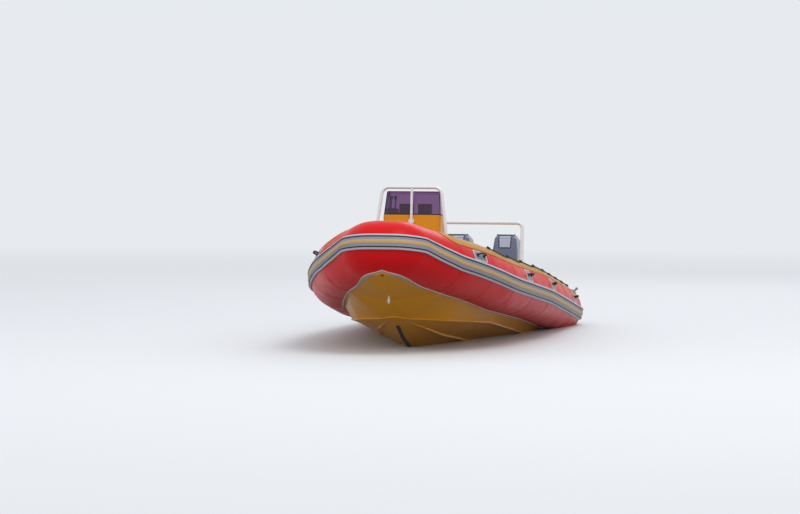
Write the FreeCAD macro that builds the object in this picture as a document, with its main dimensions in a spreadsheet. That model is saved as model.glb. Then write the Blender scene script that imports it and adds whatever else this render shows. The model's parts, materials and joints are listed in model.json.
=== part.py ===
"""Rigid inflatable boat: a V hull with an air tube round it, a console forward, a stern frame and
two outboard motors.

Millimetres. Every piece is drawn level in the hull's own frame: X ahead from the transom, Y to port,
Z up from the keel. The last step sets them all at the trim that the boat runs at, bow up, with the
water surface at Z 0.
"""
import FreeCAD
import Part
import Sketcher

import math
import os
import re

from FreeCAD import Placement, Rotation, Vector

doc = FreeCAD.newDocument("rib_boat")
sheet = doc.addObject("Spreadsheet::Sheet", "Sizes")

# Driving dimensions. The columns are: alias, value in mm or degrees, what it is.
SIZES = (
    ("hull_length", 6500, "transom to the front of the rubbing strake"),
    ("trim_deg", 5.3, "bow-up trim that the boat runs at"),
    ("trim_station", 3050, "place along the keel that stands over the origin"),
    ("running_draft", 201, "water surface above the keel line at that place"),
    ("tube_radius", 280, "air tube"),
    ("tube_half_beam", 940, "centre line of the tube from the middle, aft"),
    ("tube_bow_height", 907, "tube's centre line above the keel at the bow"),
    ("tube_stern_height", 660, "tube's centre line above the keel at the transom"),
    ("baffle_station", 1600, "baffle between the middle and the aft chamber, ahead of the transom"),
    ("cone_length", 430, "end cone of the tube, aft of the transom"),
    ("cone_end_radius", 125, "small end of the cone"),
    ("cone_dome", 45, "domed cap on the cone"),
    ("strake_width", 158, "rubbing strake across its face"),
    ("strake_depth", 20, "strake's base, out from the tube"),
    ("strake_angle", 13, "strake's middle above the widest line of the tube, at the bow"),
    ("strake_fall", 23, "how far the strake has come down round the tube at the transom, in degrees"),
    ("stripe_width", 36, "coloured insert in the strake"),
    ("stripe_seat", 8, "groove that the insert lies in"),
    ("bead_width", 11, "dark ribs along the strake"),
    ("bead_spacing", 104, "between the two ribs"),
    ("bead_depth", 7, "rib out from the strake's face"),
    ("pad_station", 560, "front end of the wear pad, aft of the bow"),
    ("pad_low_angle", 38, "outboard edge of the wear pad, above the tube's widest line"),
    ("pad_high_angle", 128, "inboard edge of the wear pad"),
    ("pad_depth", 5, "wear pad"),
    ("seat_gap", 0.3, "clearance between curved faces that touch"),
    ("chine_flat", 40, "flat along the chine"),
    ("chine_lip", 14, "spray lip that stands out at the chine"),
    ("spray_rail_width", 42, "spray rail under the hull"),
    ("flange_height", 18, "hull's rim under the tube"),
    ("flange_depth", 9, "rim's thickness"),
    ("guard_width", 32, "keel guard across"),
    ("guard_depth", 9, "keel guard below the keel"),
    ("guard_station", 1050, "upper end of the keel guard, aft of the bow"),
    ("rim_low", 280, "lowest level of the hull's rim"),
    ("rim_high", 770, "highest level of the hull's rim"),
    ("transom_height", 655, "top of the transom above the keel"),
    ("transom_depth", 62, "transom's thickness"),
    ("transom_rake", 12, "lean of the transom, aft at the top, in degrees"),
    ("deck_height", 490, "top of the cockpit sole above the keel"),
    ("deck_depth", 18, "cockpit sole panel"),
    ("foredeck_station", 1480, "aft face of the foredeck, aft of the bow"),
    ("foredeck_rise", 160, "top of the foredeck above the sole"),
    ("post_radius", 30, "mooring post"),
    ("post_height", 260, "mooring post above the foredeck"),
    ("post_station", 1020, "mooring post, aft of the bow"),
    ("eye_hole_radius", 14, "hole of a towing eye"),
    ("eye_rim", 16, "metal round that hole"),
    ("eye_depth", 14, "towing eye's plate"),
    ("bow_eye_reach", 34, "bow eye's hole ahead of the stem"),
    ("bow_eye_height", 475, "bow eye's hole above the keel"),
    ("stern_eye_reach", 34, "stern eye's hole aft of the transom"),
    ("stern_eye_height", 500, "stern eye's hole above the keel"),
    ("stern_eye_spacing", 1080, "between the stern eyes"),
    ("console_station", 1640, "front of the console's foot, aft of the bow"),
    ("console_width", 580, "across"),
    ("console_foot", 520, "console's depth at the sole"),
    ("console_head", 330, "console's depth under the windscreen"),
    ("console_height", 871, "console above the sole"),
    ("console_lean", 70, "console's front leans aft this far"),
    ("console_round", 35, "round corners of the console"),
    ("dash_drop", 190, "height of the sloping dash"),
    ("dash_reach", 75, "slope of the dash, aft"),
    ("screen_height", 240, "windscreen above the console"),
    ("screen_depth", 5, "windscreen's thickness"),
    ("screen_side", 300, "length of the windscreen's sides at the foot"),
    ("screen_head_width", 532, "windscreen across at its top"),
    ("screen_head_side", 130, "length of the windscreen's sides at the top"),
    ("screen_lean", 45, "windscreen's front leans aft this far"),
    ("display_width", 135, "display on the dash"),
    ("display_height", 105, "display's case"),
    ("display_depth", 62, "display's case, fore and aft"),
    ("display_spacing", 190, "between the displays' middles"),
    ("display_lift", 22, "display's bracket"),
    ("rail_radius", 16, "console rail's tube"),
    ("rail_foot", 890, "between the rail's feet"),
    ("rail_head", 590, "rail's top bar, corner to corner"),
    ("rail_height", 1143, "top bar above the sole"),
    ("rail_bend", 75, "bends of the rail"),
    ("rail_foot_radius", 45, "round foot of a rail or frame leg"),
    ("rail_foot_depth", 8, "that foot's thickness"),
    ("frame_radius", 21, "stern frame's tube"),
    ("frame_width", 1210, "between the stern frame's legs"),
    ("frame_height", 1115, "stern frame's top bar above the sole"),
    ("frame_bend", 60, "bends of the stern frame"),
    ("frame_station", 760, "stern frame ahead of the transom"),
    ("brace_reach", 520, "brace's foot ahead of the stern frame"),
    ("brace_rise", 681, "brace's top above the sole"),
    ("brace_radius", 16, "brace's tube"),
    ("wheel_radius", 165, "steering wheel"),
    ("wheel_bar", 13, "steering wheel's rim"),
    ("wheel_hub_radius", 34, "steering wheel's hub"),
    ("wheel_shaft_radius", 11, "shaft that the steering wheel turns on"),
    ("wheel_reach", 95, "wheel's plane from the console"),
    ("wheel_height", 611, "wheel's hub above the sole"),
    ("wheel_tilt", 22, "wheel leans ahead at the top, in degrees"),
    ("throttle_width", 88, "control box"),
    ("throttle_length", 150, "control box, fore and aft"),
    ("throttle_height", 70, "control box"),
    ("seat_station", 380, "front of the seat, aft of the console's foot"),
    ("seat_length", 760, "seat, fore and aft"),
    ("seat_width", 420, "seat, across"),
    ("seat_height", 481, "seat's base above the sole"),
    ("cushion_depth", 95, "seat cushion"),
    ("backrest_height", 230, "low backrest above the cushion"),
    ("motor_spacing", 565, "between the two motors"),
    ("steer_setback", 115, "steering axis behind the transom's top edge"),
    ("steer_pin_radius", 24, "steering pin"),
    ("pin_gap", 0.3, "clearance of a pin in its bore"),
    ("swivel_wall", 18, "wall of the steering tube"),
    ("tilt_pin_ahead", 125, "tilt pin ahead of the steering axis"),
    ("tilt_pin_rise", 62, "tilt pin above the transom"),
    ("tilt_pin_radius", 11, "tilt pin"),
    ("tilt_boss", 28, "swivel bracket's boss round the tilt pin"),
    ("cheek_spacing", 156, "between the clamp bracket's cheeks"),
    ("cheek_depth", 18, "clamp bracket's cheek"),
    ("arm_reach", 150, "steering arm ahead of the steering axis"),
    ("arm_rise", 150, "top of the steering arm above the transom"),
    ("tie_radius", 10, "tie bar"),
    ("tie_pin_radius", 8, "pins that hold the tie bar"),
    ("motor_rise", 875, "motor's top above the transom"),
    ("cowl_foot", 235, "bottom of the cowl above the transom"),
    ("cowl_width", 310, "motor cowl across, at its widest"),
    ("cowl_length", 500, "motor cowl fore and aft, at its widest"),
    ("cowl_wall", 6, "motor cowl"),
    ("cowl_panel_width", 146, "dark frame on the cowl's front, across"),
    ("cowl_frame_width", 9, "that frame's bars"),
    ("cowl_cap_depth", 16, "dark cap on the cowl's top"),
    ("powerhead_width", 170, "engine block, across"),
    ("powerhead_length", 300, "engine block, fore and aft"),
    ("powerhead_height", 430, "engine block"),
    ("shaft_drop", 835, "propeller's shaft below the transom's top"),
    ("plate_drop", 635, "splash plate below the transom's top"),
    ("gearcase_radius", 50, "gearcase"),
    ("prop_radius", 168, "propeller"),
    ("prop_pitch", 340, "blade's advance in one turn"),
    ("prop_shaft_radius", 14, "propeller's shaft"),
    ("hub_radius", 44, "propeller's hub"),
    ("hub_length", 105, "propeller's hub"),
    ("line_radius", 6, "lifeline"),
    ("line_angle", 64, "lifeline's loops above the widest line of the tube"),
    ("line_sag", 9, "how far the line droops between its loops, in degrees"),
    ("loop_radius", 17, "rubber loop that holds the lifeline"),
    ("loop_height", 20, "rubber loop that holds the lifeline"),
    ("patch_length", 260, "patch under a grab handle"),
    ("patch_margin", 9, "patch's edges from the strake and the wear pad"),
    ("patch_depth", 4, "patch's thickness"),
    ("handle_length", 150, "grab handle"),
    ("handle_rise", 40, "grab handle's bar above the patch"),
    ("handle_radius", 9, "grab handle's bar"),
    ("valve_radius", 24, "air valve"),
    ("cleat_station", 70, "stern cleat ahead of the transom"),
    ("cleat_angle", 46, "stern cleat above the widest line of the tube"),
    ("cleat_length", 150, "stern cleat's horn"),
    ("cleat_height", 50, "stern cleat's horn above the tube"),
    ("loop_front", 1480, "first loop of the lifeline, aft of the bow"),
    ("loop_aft", 220, "last loop of the lifeline, ahead of the transom"),
)
for row, (alias, value, meaning) in enumerate(SIZES, start=1):
    sheet.set(f"A{row}", meaning)
    sheet.set(f"B{row}", str(value))
    sheet.setAlias(f"B{row}", alias)
doc.recompute()
S = {alias: float(sheet.get(alias)) for alias, value, meaning in SIZES}

PORT, STARBOARD = 1, -1
SIDES = (("port", PORT), ("starboard", STARBOARD))
UP = Vector(0, 0, 1)
AHEAD = Vector(1, 0, 0)
ACROSS = Vector(0, 1, 0)
FAR = 9000.0
RAKE = math.tan(math.radians(S["transom_rake"]))
BOW = S["hull_length"]
CONSOLE_FRONT = BOW - S["console_station"]
AT_FOREDECK = "(hull_length - foredeck_station)"
FOREDECK_TOP = "(deck_height + foredeck_rise)"
AT_CONSOLE = "(hull_length - console_station)"
AT_SEAT = "(hull_length - console_station - console_foot - seat_station)"
AT_STEERING = "(-tan(transom_rake) * transom_height - steer_setback)"
pieces = []


def cells(formula):
    """A formula with each size's name written as its cell in the sheet."""
    return re.sub(r"[a-z]+(_[a-z]+)+", r"Sizes.\g<0>", str(formula))


def bind(feature, **formulas):
    for name, formula in formulas.items():
        feature.setExpression(name, cells(formula))
    return feature


def place(feature, across_x="0", across_y="0", up_z="0"):
    """Puts a construction feature somewhere, each coordinate bound to the sheet."""
    for axis, formula in zip("xyz", (across_x, across_y, up_z)):
        feature.setExpression(f".Placement.Base.{axis}", cells(formula))
    return feature


def box(name, length, width, height, *spot):
    feature = bind(doc.addObject("Part::Box", name), Length=length, Width=width, Height=height)
    return place(feature, *spot)


def bar(name, radius, height, *spot, axis="Z"):
    """A cylinder along one axis."""
    feature = bind(doc.addObject("Part::Cylinder", name), Radius=radius, Height=height)
    turns = {"X": Rotation(ACROSS, 90), "Y": Rotation(AHEAD, -90), "Z": Rotation()}
    feature.Placement = Placement(Vector(0, 0, 0), turns[axis])
    return place(feature, *spot)


def combine(kind, name, base, tool):
    """A boolean of two features: Part::Cut, Part::Common or Part::Fuse."""
    feature = doc.addObject(kind, name)
    feature.Base = base
    feature.Tool = tool
    feature.Refine = True
    return feature


def fuse_all(name, features):
    feature = doc.addObject("Part::MultiFuse", name)
    feature.Shapes = features
    feature.Refine = True
    return feature


def gather(name, features):
    """Like solids that stay apart, as one piece."""
    feature = doc.addObject("Part::Compound", name)
    feature.Links = features
    return feature


def solid(name, shape):
    """Construction feature that holds a shape made by code."""
    feature = doc.addObject("Part::Feature", name)
    feature.Shape = shape
    return feature


def outline(body, plane, corners):
    """A closed sketch on one of a body's own planes, each corner held by two distances bound to the sheet."""
    origin_plane = next(o for o in body.Origin.OriginFeatures if o.Role == f"{plane}_Plane")
    sketch = body.newObject("Sketcher::SketchObject", f"{body.Name}_outline")
    sketch.AttachmentSupport = [(origin_plane, "")]
    sketch.MapMode = "FlatFace"
    count = len(corners)
    turns = [2 * math.pi * i / count for i in range(count)]
    ring = [Vector(100 * math.cos(turn), 100 * math.sin(turn), 0) for turn in turns]
    for i in range(count):
        sketch.addGeometry(Part.LineSegment(ring[i], ring[(i + 1) % count]), False)
    for i in range(count):
        sketch.addConstraint(Sketcher.Constraint("Coincident", i, 2, (i + 1) % count, 1))
    for i, corner in enumerate(corners):
        for kind, start, formula in zip(("DistanceX", "DistanceY"), (ring[i].x, ring[i].y), corner):
            index = sketch.addConstraint(Sketcher.Constraint(kind, -1, 1, i, 1, start))
            sketch.setExpression(f"Constraints[{index}]", cells(formula))
    return sketch


def plate(name, plane, corners, depth):
    """A body padded equally to both sides of one of its planes."""
    body = doc.addObject("PartDesign::Body", name)
    sketch = outline(body, plane, corners)
    pad = body.newObject("PartDesign::Pad", f"{name}_pad")
    pad.Profile = sketch
    pad.SideType = "Symmetric"
    bind(pad, Length=depth)
    sketch.Visibility = False
    doc.recompute()
    return body


def soften(body, radius, wanted):
    """Rounds the edges of a body that the test picks."""
    base = body.Tip
    names = [f"Edge{i}" for i, edge in enumerate(base.Shape.Edges, start=1) if wanted(edge)]
    fillet = body.newObject("PartDesign::Fillet", f"{body.Name}_round")
    fillet.Base = (base, names)
    bind(fillet, Radius=radius)
    doc.recompute()
    return body


def is_upright(edge):
    """True for a straight edge that runs more up than along."""
    first, last = edge.Vertexes[0].Point, edge.Vertexes[-1].Point
    rise = abs(last.z - first.z)
    return rise > abs(last.x - first.x) and rise > abs(last.y - first.y)


def publish(name, shape):
    """Adds a finished shape to the document as a piece of the boat."""
    if shape.ShapeType == "Compound" and len(shape.Solids) == 1:
        shape = shape.Solids[0]
    return adopt(name, solid(name, shape))


def adopt(name, feature):
    """Counts a feature as a piece of the boat."""
    feature.Label = name
    pieces.append(feature)
    return feature


def find(name):
    """A piece made before."""
    return next(piece for piece in pieces if piece.Label == name)


def mirrored(shape):
    """The same shape on the other side of the boat."""
    return shape.mirror(Vector(0, 0, 0), Vector(0, 1, 0))


def half_space(point, normal):
    """Everything on the side of a plane that its normal points to, as a large box."""
    box = Part.makeBox(2 * FAR, 2 * FAR, FAR, Vector(-FAR, -FAR, 0))
    box.Placement = Placement(Vector(point), Rotation(UP, Vector(normal)))
    return box


def polygon(points):
    return Part.Face(Part.makePolygon([*points, points[0]]))


def bent_path(points, radius):
    """A wire of straight runs joined by arcs of one radius."""
    edges, start = [], Vector(points[0])
    for before, corner, after in zip(points, points[1:], points[2:]):
        back = (Vector(before) - Vector(corner)).normalize()
        on = (Vector(after) - Vector(corner)).normalize()
        half = back.getAngle(on) / 2
        reach = radius / math.tan(half)
        middle = (back + on).normalize() * (radius / math.sin(half))
        first = Vector(corner) + back * reach
        last = Vector(corner) + on * reach
        top = Vector(corner) + middle - (Vector(middle).normalize() * radius)
        edges.append(Part.LineSegment(start, first).toShape())
        edges.append(Part.Arc(first, top, last).toShape())
        start = last
    edges.append(Part.LineSegment(start, Vector(points[-1])).toShape())
    return Part.Wire(edges)


def pipe(points, bend, radius):
    """A round bar bent along some points."""
    path = bent_path(points, bend)
    ahead = Vector(points[1]) - Vector(points[0])
    ring = Part.Wire(Part.Circle(Vector(points[0]), ahead, radius).toShape())
    return path.makePipeShell([ring], True, True)


# Air tube: a run of straight cylinders mitred at each corner, as its fabric panels are cut.
# Columns: aft of the bow, out from the middle line, drop from the bow's height, and how far the strake
# has come down round the tube there, as a share of its whole fall.
TUBE_CORNERS = (
    (300, 95, 0, 0.0),
    (334, 152, 6, 0.04),
    (762, 447, 91, 0.61),
    (1334, 641, 132, 0.78),
    (1896, 776, 192, 0.83),
    (3514, 930, 212, 0.91),
)
BOW_RUNS, MIDDLE_RUNS, AFT_RUNS = (0, 1, 2, 3), (4, 5), (6, 7)
SHOULDER = 2


def tube_line():
    """Corner points of the tube's centre line on the port side, from the bow's middle to the cone."""
    height = S["tube_bow_height"]
    points = [Vector(BOW - TUBE_CORNERS[0][0], 0, height)]
    for aft, out, drop, fall in TUBE_CORNERS:
        points.append(Vector(BOW - aft, out, height - drop))
    last = points[-1]
    for station in (S["baffle_station"], 0.0):
        level = S["tube_stern_height"] + (last.z - S["tube_stern_height"]) * station / last.x
        points.append(Vector(station, S["tube_half_beam"], level))
    return points


def strake_angles():
    """Angle of the strake's middle above the tube's widest line, at each corner point."""
    falls = [0.0] + [fall for aft, out, drop, fall in TUBE_CORNERS]
    falls.append(falls[-1] + (1 - falls[-1]) * (1 - S["baffle_station"] / LINE[-3].x))
    falls.append(1.0)
    return [S["strake_angle"] - S["strake_fall"] * fall for fall in falls]


LINE = tube_line()
RUNS = range(len(LINE) - 1)
STRAKE_ANGLES = strake_angles()


def run_frame(run):
    """Start, direction, outward and upward vectors of one straight run of the tube."""
    start, end = LINE[run], LINE[run + 1]
    along = (end - start).normalize()
    out = along.cross(UP).normalize()
    return start, along, out, out.cross(along).normalize()


def mitre(run):
    """Point and normal of the plane where a run begins."""
    along = run_frame(min(run, len(LINE) - 2))[1]
    before = run_frame(max(run - 1, 0))[1]
    return LINE[run], (along + before).normalize()


def along_tube(profile, runs):
    """Extrudes a section along some runs of the tube and mitres the corners."""
    solids = []
    for run in runs:
        start, along, out, up = run_frame(run)
        length = (LINE[run + 1] - start).Length
        back = start - along * 600
        face = profile(lambda u, v: back + out * u + up * v, along)
        solid = face.extrude(along * (length + 1200))
        point, normal = mitre(run)
        solid = solid.common(half_space(point, normal))
        point, normal = mitre(run + 1)
        solid = solid.common(half_space(point, normal * -1))
        if run in BOW_RUNS:
            solid = solid.common(half_space(Vector(0, 0, 0), ACROSS))
        solids.append(solid)
    return solids[0].fuse(solids[1:]) if len(solids) > 1 else solids[0]


def disc(radius):
    """Section: a full circle about the tube's centre line."""
    def profile(at, along):
        return Part.Face(Part.Wire(Part.Circle(at(0, 0), along, radius).toShape()))
    return profile


def band(inner, outer, low_deg, high_deg):
    """Section: part of a ring between two angles, counted up from the tube's widest line."""
    def profile(at, along):
        def spot(radius, degrees):
            turn = math.radians(degrees)
            return at(radius * math.cos(turn), radius * math.sin(turn))
        middle = (low_deg + high_deg) / 2
        outside = Part.Arc(spot(outer, low_deg), spot(outer, middle), spot(outer, high_deg)).toShape()
        inside = Part.Arc(spot(inner, high_deg), spot(inner, middle), spot(inner, low_deg)).toShape()
        ends = [
            Part.LineSegment(spot(outer, high_deg), spot(inner, high_deg)).toShape(),
            Part.LineSegment(spot(inner, low_deg), spot(outer, low_deg)).toShape(),
        ]
        return Part.Face(Part.Wire([outside, ends[0], inside, ends[1]]))
    return profile


def end_cone(grow=0.0):
    """Tube's aft end: a cone and a domed cap, turned about the tube's centre line."""
    big, small = S["tube_radius"] + grow, S["cone_end_radius"] + grow
    length, dome = S["cone_length"], S["cone_dome"]
    profile = Part.Wire([
        Part.LineSegment(Vector(0, 0, 0), Vector(0, 0, big)).toShape(),
        Part.LineSegment(Vector(0, 0, big), Vector(-length, 0, small)).toShape(),
        Part.Arc(
            Vector(-length, 0, small),
            Vector(-length - dome * 0.72, 0, small * 0.62),
            Vector(-length - dome, 0, small * 0.2),
        ).toShape(),
        Part.LineSegment(Vector(-length - dome, 0, small * 0.2), Vector(-length - dome, 0, 0)).toShape(),
        Part.LineSegment(Vector(-length - dome, 0, 0), Vector(0, 0, 0)).toShape(),
    ])
    cone = Part.Face(profile).revolve(Vector(0, 0, 0), AHEAD, 360)
    cone.Placement = Placement(LINE[-1], Rotation(AHEAD * -1, run_frame(RUNS[-1])[1]))
    return cone


def tube_side(grow=0.0):
    """Whole port half of the tube, for cutting what seats against it."""
    radius = S["tube_radius"] + grow
    return along_tube(disc(radius), RUNS).fuse(end_cone(grow))


TUBE_CUTTER = tube_side(S["seat_gap"])
TUBE_CUTTER = TUBE_CUTTER.fuse(mirrored(TUBE_CUTTER))


def make_tube():
    radius = S["tube_radius"]
    half_bow = along_tube(disc(radius), BOW_RUNS)
    publish("tube_bow", half_bow.fuse(mirrored(half_bow)).removeSplitter())
    middle = along_tube(disc(radius), MIDDLE_RUNS)
    aft = along_tube(disc(radius), AFT_RUNS).fuse(end_cone()).removeSplitter()
    for side, sign in SIDES:
        publish(f"tube_middle_{side}", middle if sign == PORT else mirrored(middle))
        publish(f"tube_aft_{side}", aft if sign == PORT else mirrored(aft))


def on_mitre(corner, radius, degrees):
    """A point of a corner's mitre plane, at a distance from the tube's centre line and an angle round it."""
    point, normal = mitre(corner)
    along = run_frame(min(corner, RUNS[-1]))[1]
    out = normal.cross(UP).normalize()
    up = out.cross(normal).normalize()
    turn = math.radians(degrees)
    away = out * math.cos(turn) + up * math.sin(turn)
    return point + away * (radius / math.sqrt(1 - away.dot(along) ** 2))


def strake_strip(inner, outer, shift, width):
    """A strip that follows the strake from the bow's middle to the transom, mitred like the tube.

    Inner and outer are distances from the tube's centre line, and shift and width are measured round it.
    """
    face = S["tube_radius"] + S["strake_depth"]
    wires = []
    for corner in range(len(LINE)):
        middle = STRAKE_ANGLES[corner] + math.degrees(shift / face)
        half = math.degrees(width / 2 / face)
        low, high = middle - half, middle + half
        outside = [on_mitre(corner, outer, angle) for angle in (low, middle, high)]
        inside = [on_mitre(corner, inner, angle) for angle in (high, middle, low)]
        wires.append(Part.Wire([
            Part.Arc(*outside).toShape(),
            Part.LineSegment(outside[-1], inside[0]).toShape(),
            Part.Arc(*inside).toShape(),
            Part.LineSegment(inside[-1], outside[0]).toShape(),
        ]))
    return Part.makeLoft(wires, True, True)


def make_strake():
    """Rubbing strake: a base with a coloured insert along its middle and two dark ribs, in grooves."""
    gap = S["seat_gap"]
    face = S["tube_radius"] + S["strake_depth"]
    seat = face - S["stripe_seat"]
    beyond = face + 30
    stripe = strake_strip(seat + gap, face + 3, 0, S["stripe_width"])
    base = strake_strip(S["tube_radius"] - 8, face, 0, S["strake_width"]).cut(TUBE_CUTTER)
    base = base.cut(strake_strip(seat, beyond, 0, S["stripe_width"] + 2 * gap))
    ribs = []
    for shift in (S["bead_spacing"] / 2, -S["bead_spacing"] / 2):
        base = base.cut(strake_strip(seat, beyond, shift, S["bead_width"] + 2 * gap))
        ribs.append(strake_strip(seat + gap, face + S["bead_depth"], shift, S["bead_width"]))
    publish("rubbing_strake", base.fuse(mirrored(base)).removeSplitter())
    publish("strake_stripe", stripe.fuse(mirrored(stripe)).removeSplitter())
    whole = [rib.fuse(mirrored(rib)).removeSplitter() for rib in ribs]
    publish("strake_ribs", Part.makeCompound(whole))


def make_wear_pads():
    """Wear pads along the top of the tube, from the bow's shoulder to the stern."""
    inner = S["tube_radius"] + S["seat_gap"]
    section = band(inner, inner + S["pad_depth"], S["pad_low_angle"], S["pad_high_angle"])
    pad = along_tube(section, RUNS[SHOULDER:])
    pad = pad.common(half_space(AHEAD * (BOW - S["pad_station"]), AHEAD * -1))
    for side, sign in SIDES:
        publish(f"wear_pad_{side}", pad if sign == PORT else mirrored(pad))


# Hull sections. Columns: ahead of the transom, keel height, chine out, chine height,
# angle on the tube where the rim meets it, down from the tube's widest line.
HULL_SECTIONS = (
    (0, 0, 760, 300, 106),
    (S["baffle_station"], 0, 760, 303, 106),
    (BOW - 3514, 0, 745, 315, 106),
    (BOW - 2500, 2, 690, 330, 107),
    (BOW - 1896, 26, 610, 312, 108),
    (BOW - 1334, 130, 440, 296, 105),
    (BOW - 940, 262, 150, 290, 98),
)
STEM = (  # Columns: aft of the bow, height
    (840, 304),
    (590, 450),
    (120, 664),
)
CHEEKS = (  # Columns: aft of the bow, out, height, between the stem's head and the shoulder
    (169, 148, 665),
    (243, 212, 643),
)
SHOULDER_ANGLE = 93
TOP_LEVEL = 900.0


def tube_centre(station):
    """Tube's centre line at a station: out from the middle, and height."""
    for ahead, behind in zip(LINE[1:], LINE[2:]):
        if behind.x <= station <= ahead.x:
            share = (ahead.x - station) / (ahead.x - behind.x)
            return ahead.y + share * (behind.y - ahead.y), ahead.z + share * (behind.z - ahead.z)
    raise ValueError(f"no tube at station {station}")


def rim(station, degrees):
    """Where the hull's rim meets the tube: out, height."""
    out, height = tube_centre(station)
    turn = math.radians(degrees)
    return out + S["tube_radius"] * math.cos(turn), height - S["tube_radius"] * math.sin(turn)


def hull_ring(row, spread=0.0):
    """One section of the hull, up to a level inside the tube: later cuts give its real top."""
    station, keel, chine_out, chine_high, degrees = row
    out, high = rim(station, degrees)
    lean = RAKE if station == 0 else 0.0
    flat = S["chine_flat"] * min(1.0, chine_out / 400.0)
    half = (
        (0, keel),
        (chine_out - flat, chine_high - flat * 0.35),
        (chine_out + spread, chine_high),
        (out + spread, high),
        (out + spread, TOP_LEVEL),
    )
    ring = [(y, z) for y, z in half] + [(-y, z) for y, z in reversed(half[1:])]
    return [Vector(station - z * lean, y, z) for y, z in ring]


def hull_block(spread=0.0):
    """Hull's outside form up to TOP_LEVEL. Spread moves the topsides out."""
    sections = [hull_ring(row, spread) for row in HULL_SECTIONS]
    wires = [Part.makePolygon([*points, points[0]]) for points in sections]
    aft = Part.makeLoft(wires, True, True)
    foot, eye, head = (Vector(BOW - back, 0, high) for back, high in STEM)
    head = head + AHEAD * spread
    head_top = Vector(head.x, 0, TOP_LEVEL)
    shoulder_at = BOW - TUBE_CORNERS[SHOULDER][0]
    shoulder_out, shoulder_high = rim(shoulder_at, SHOULDER_ANGLE)
    shoulder = Vector(shoulder_at, shoulder_out + spread, shoulder_high)
    near, far = (Vector(BOW - back + spread * 0.7, out + spread * 0.7, high) for back, out, high in CHEEKS)
    near_top, far_top, shoulder_top = (Vector(spot.x, spot.y, TOP_LEVEL) for spot in (near, far, shoulder))
    keel, inner, chine, edge, edge_top = sections[-1][:5]

    def other(spot):
        return Vector(spot.x, -spot.y, spot.z)

    port = (
        (keel, foot, inner), (inner, foot, chine), (chine, foot, eye), (chine, eye, shoulder),
        (chine, shoulder, edge), (eye, head, near), (eye, near, far), (eye, far, shoulder),
        (edge, shoulder, shoulder_top, edge_top), (shoulder, far, far_top, shoulder_top),
        (far, near, near_top, far_top), (near, head, head_top, near_top),
    )
    faces = [polygon(corners) for corners in port]
    faces += [polygon([other(spot) for spot in reversed(corners)]) for corners in port]
    top = [edge_top, shoulder_top, far_top, near_top, head_top]
    faces.append(polygon([*top, *(other(spot) for spot in reversed(top[:-1]))]))
    faces.append(polygon(sections[-1]))
    front = Part.makeSolid(Part.makeShell(faces))
    if front.Volume < 0:
        front.reverse()
    return aft.fuse(front)


def moulded_strip(profile, foot=()):
    """A strip along the port side of the hull. Profile gives a section's corners (out, height) for a row of
    HULL_SECTIONS, and foot is a last section in the hull's middle plane (station, height)."""
    wires = []
    for row in HULL_SECTIONS:
        station, lean = row[0], (RAKE if row[0] == 0 else 0.0)
        points = [Vector(station - high * lean, out, high) for out, high in profile(row)]
        wires.append(Part.makePolygon([*points, points[0]]))
    if foot:
        points = [Vector(station, 0, high) for station, high in foot]
        wires.append(Part.makePolygon([*points, points[0]]))
    return Part.makeLoft(wires, True, True)


def chine_section(row):
    """Lip that carries the chine's flat outward and throws the spray down."""
    station, keel, chine_out, chine_high, degrees = row
    share = min(1.0, chine_out / 400.0)
    lip, inner = S["chine_lip"], S["chine_flat"] * share / 2 + 12 * share
    return (
        (chine_out - inner, chine_high - S["chine_flat"] * share * 0.17 + 12),
        (chine_out + lip, chine_high - 4),
        (chine_out + lip, chine_high + 8),
        (chine_out - 8, chine_high + 30),
    )


def spray_rail_section(row):
    """Rail half way between the keel and the chine, with a level underside."""
    station, keel, chine_out, chine_high, degrees = row
    share = min(1.0, chine_out / 400.0)
    width = S["spray_rail_width"] * share
    reach = chine_out - S["chine_flat"] * share
    slope = (chine_high - S["chine_flat"] * share * 0.35 - keel) / reach
    inner = reach * 0.5
    level = keel + slope * inner
    return (
        (inner - 4, level - 4 * slope + 2), (inner + width, level),
        (inner + width, level + slope * width + 4), (inner - 4, level + 14),
    )


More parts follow.
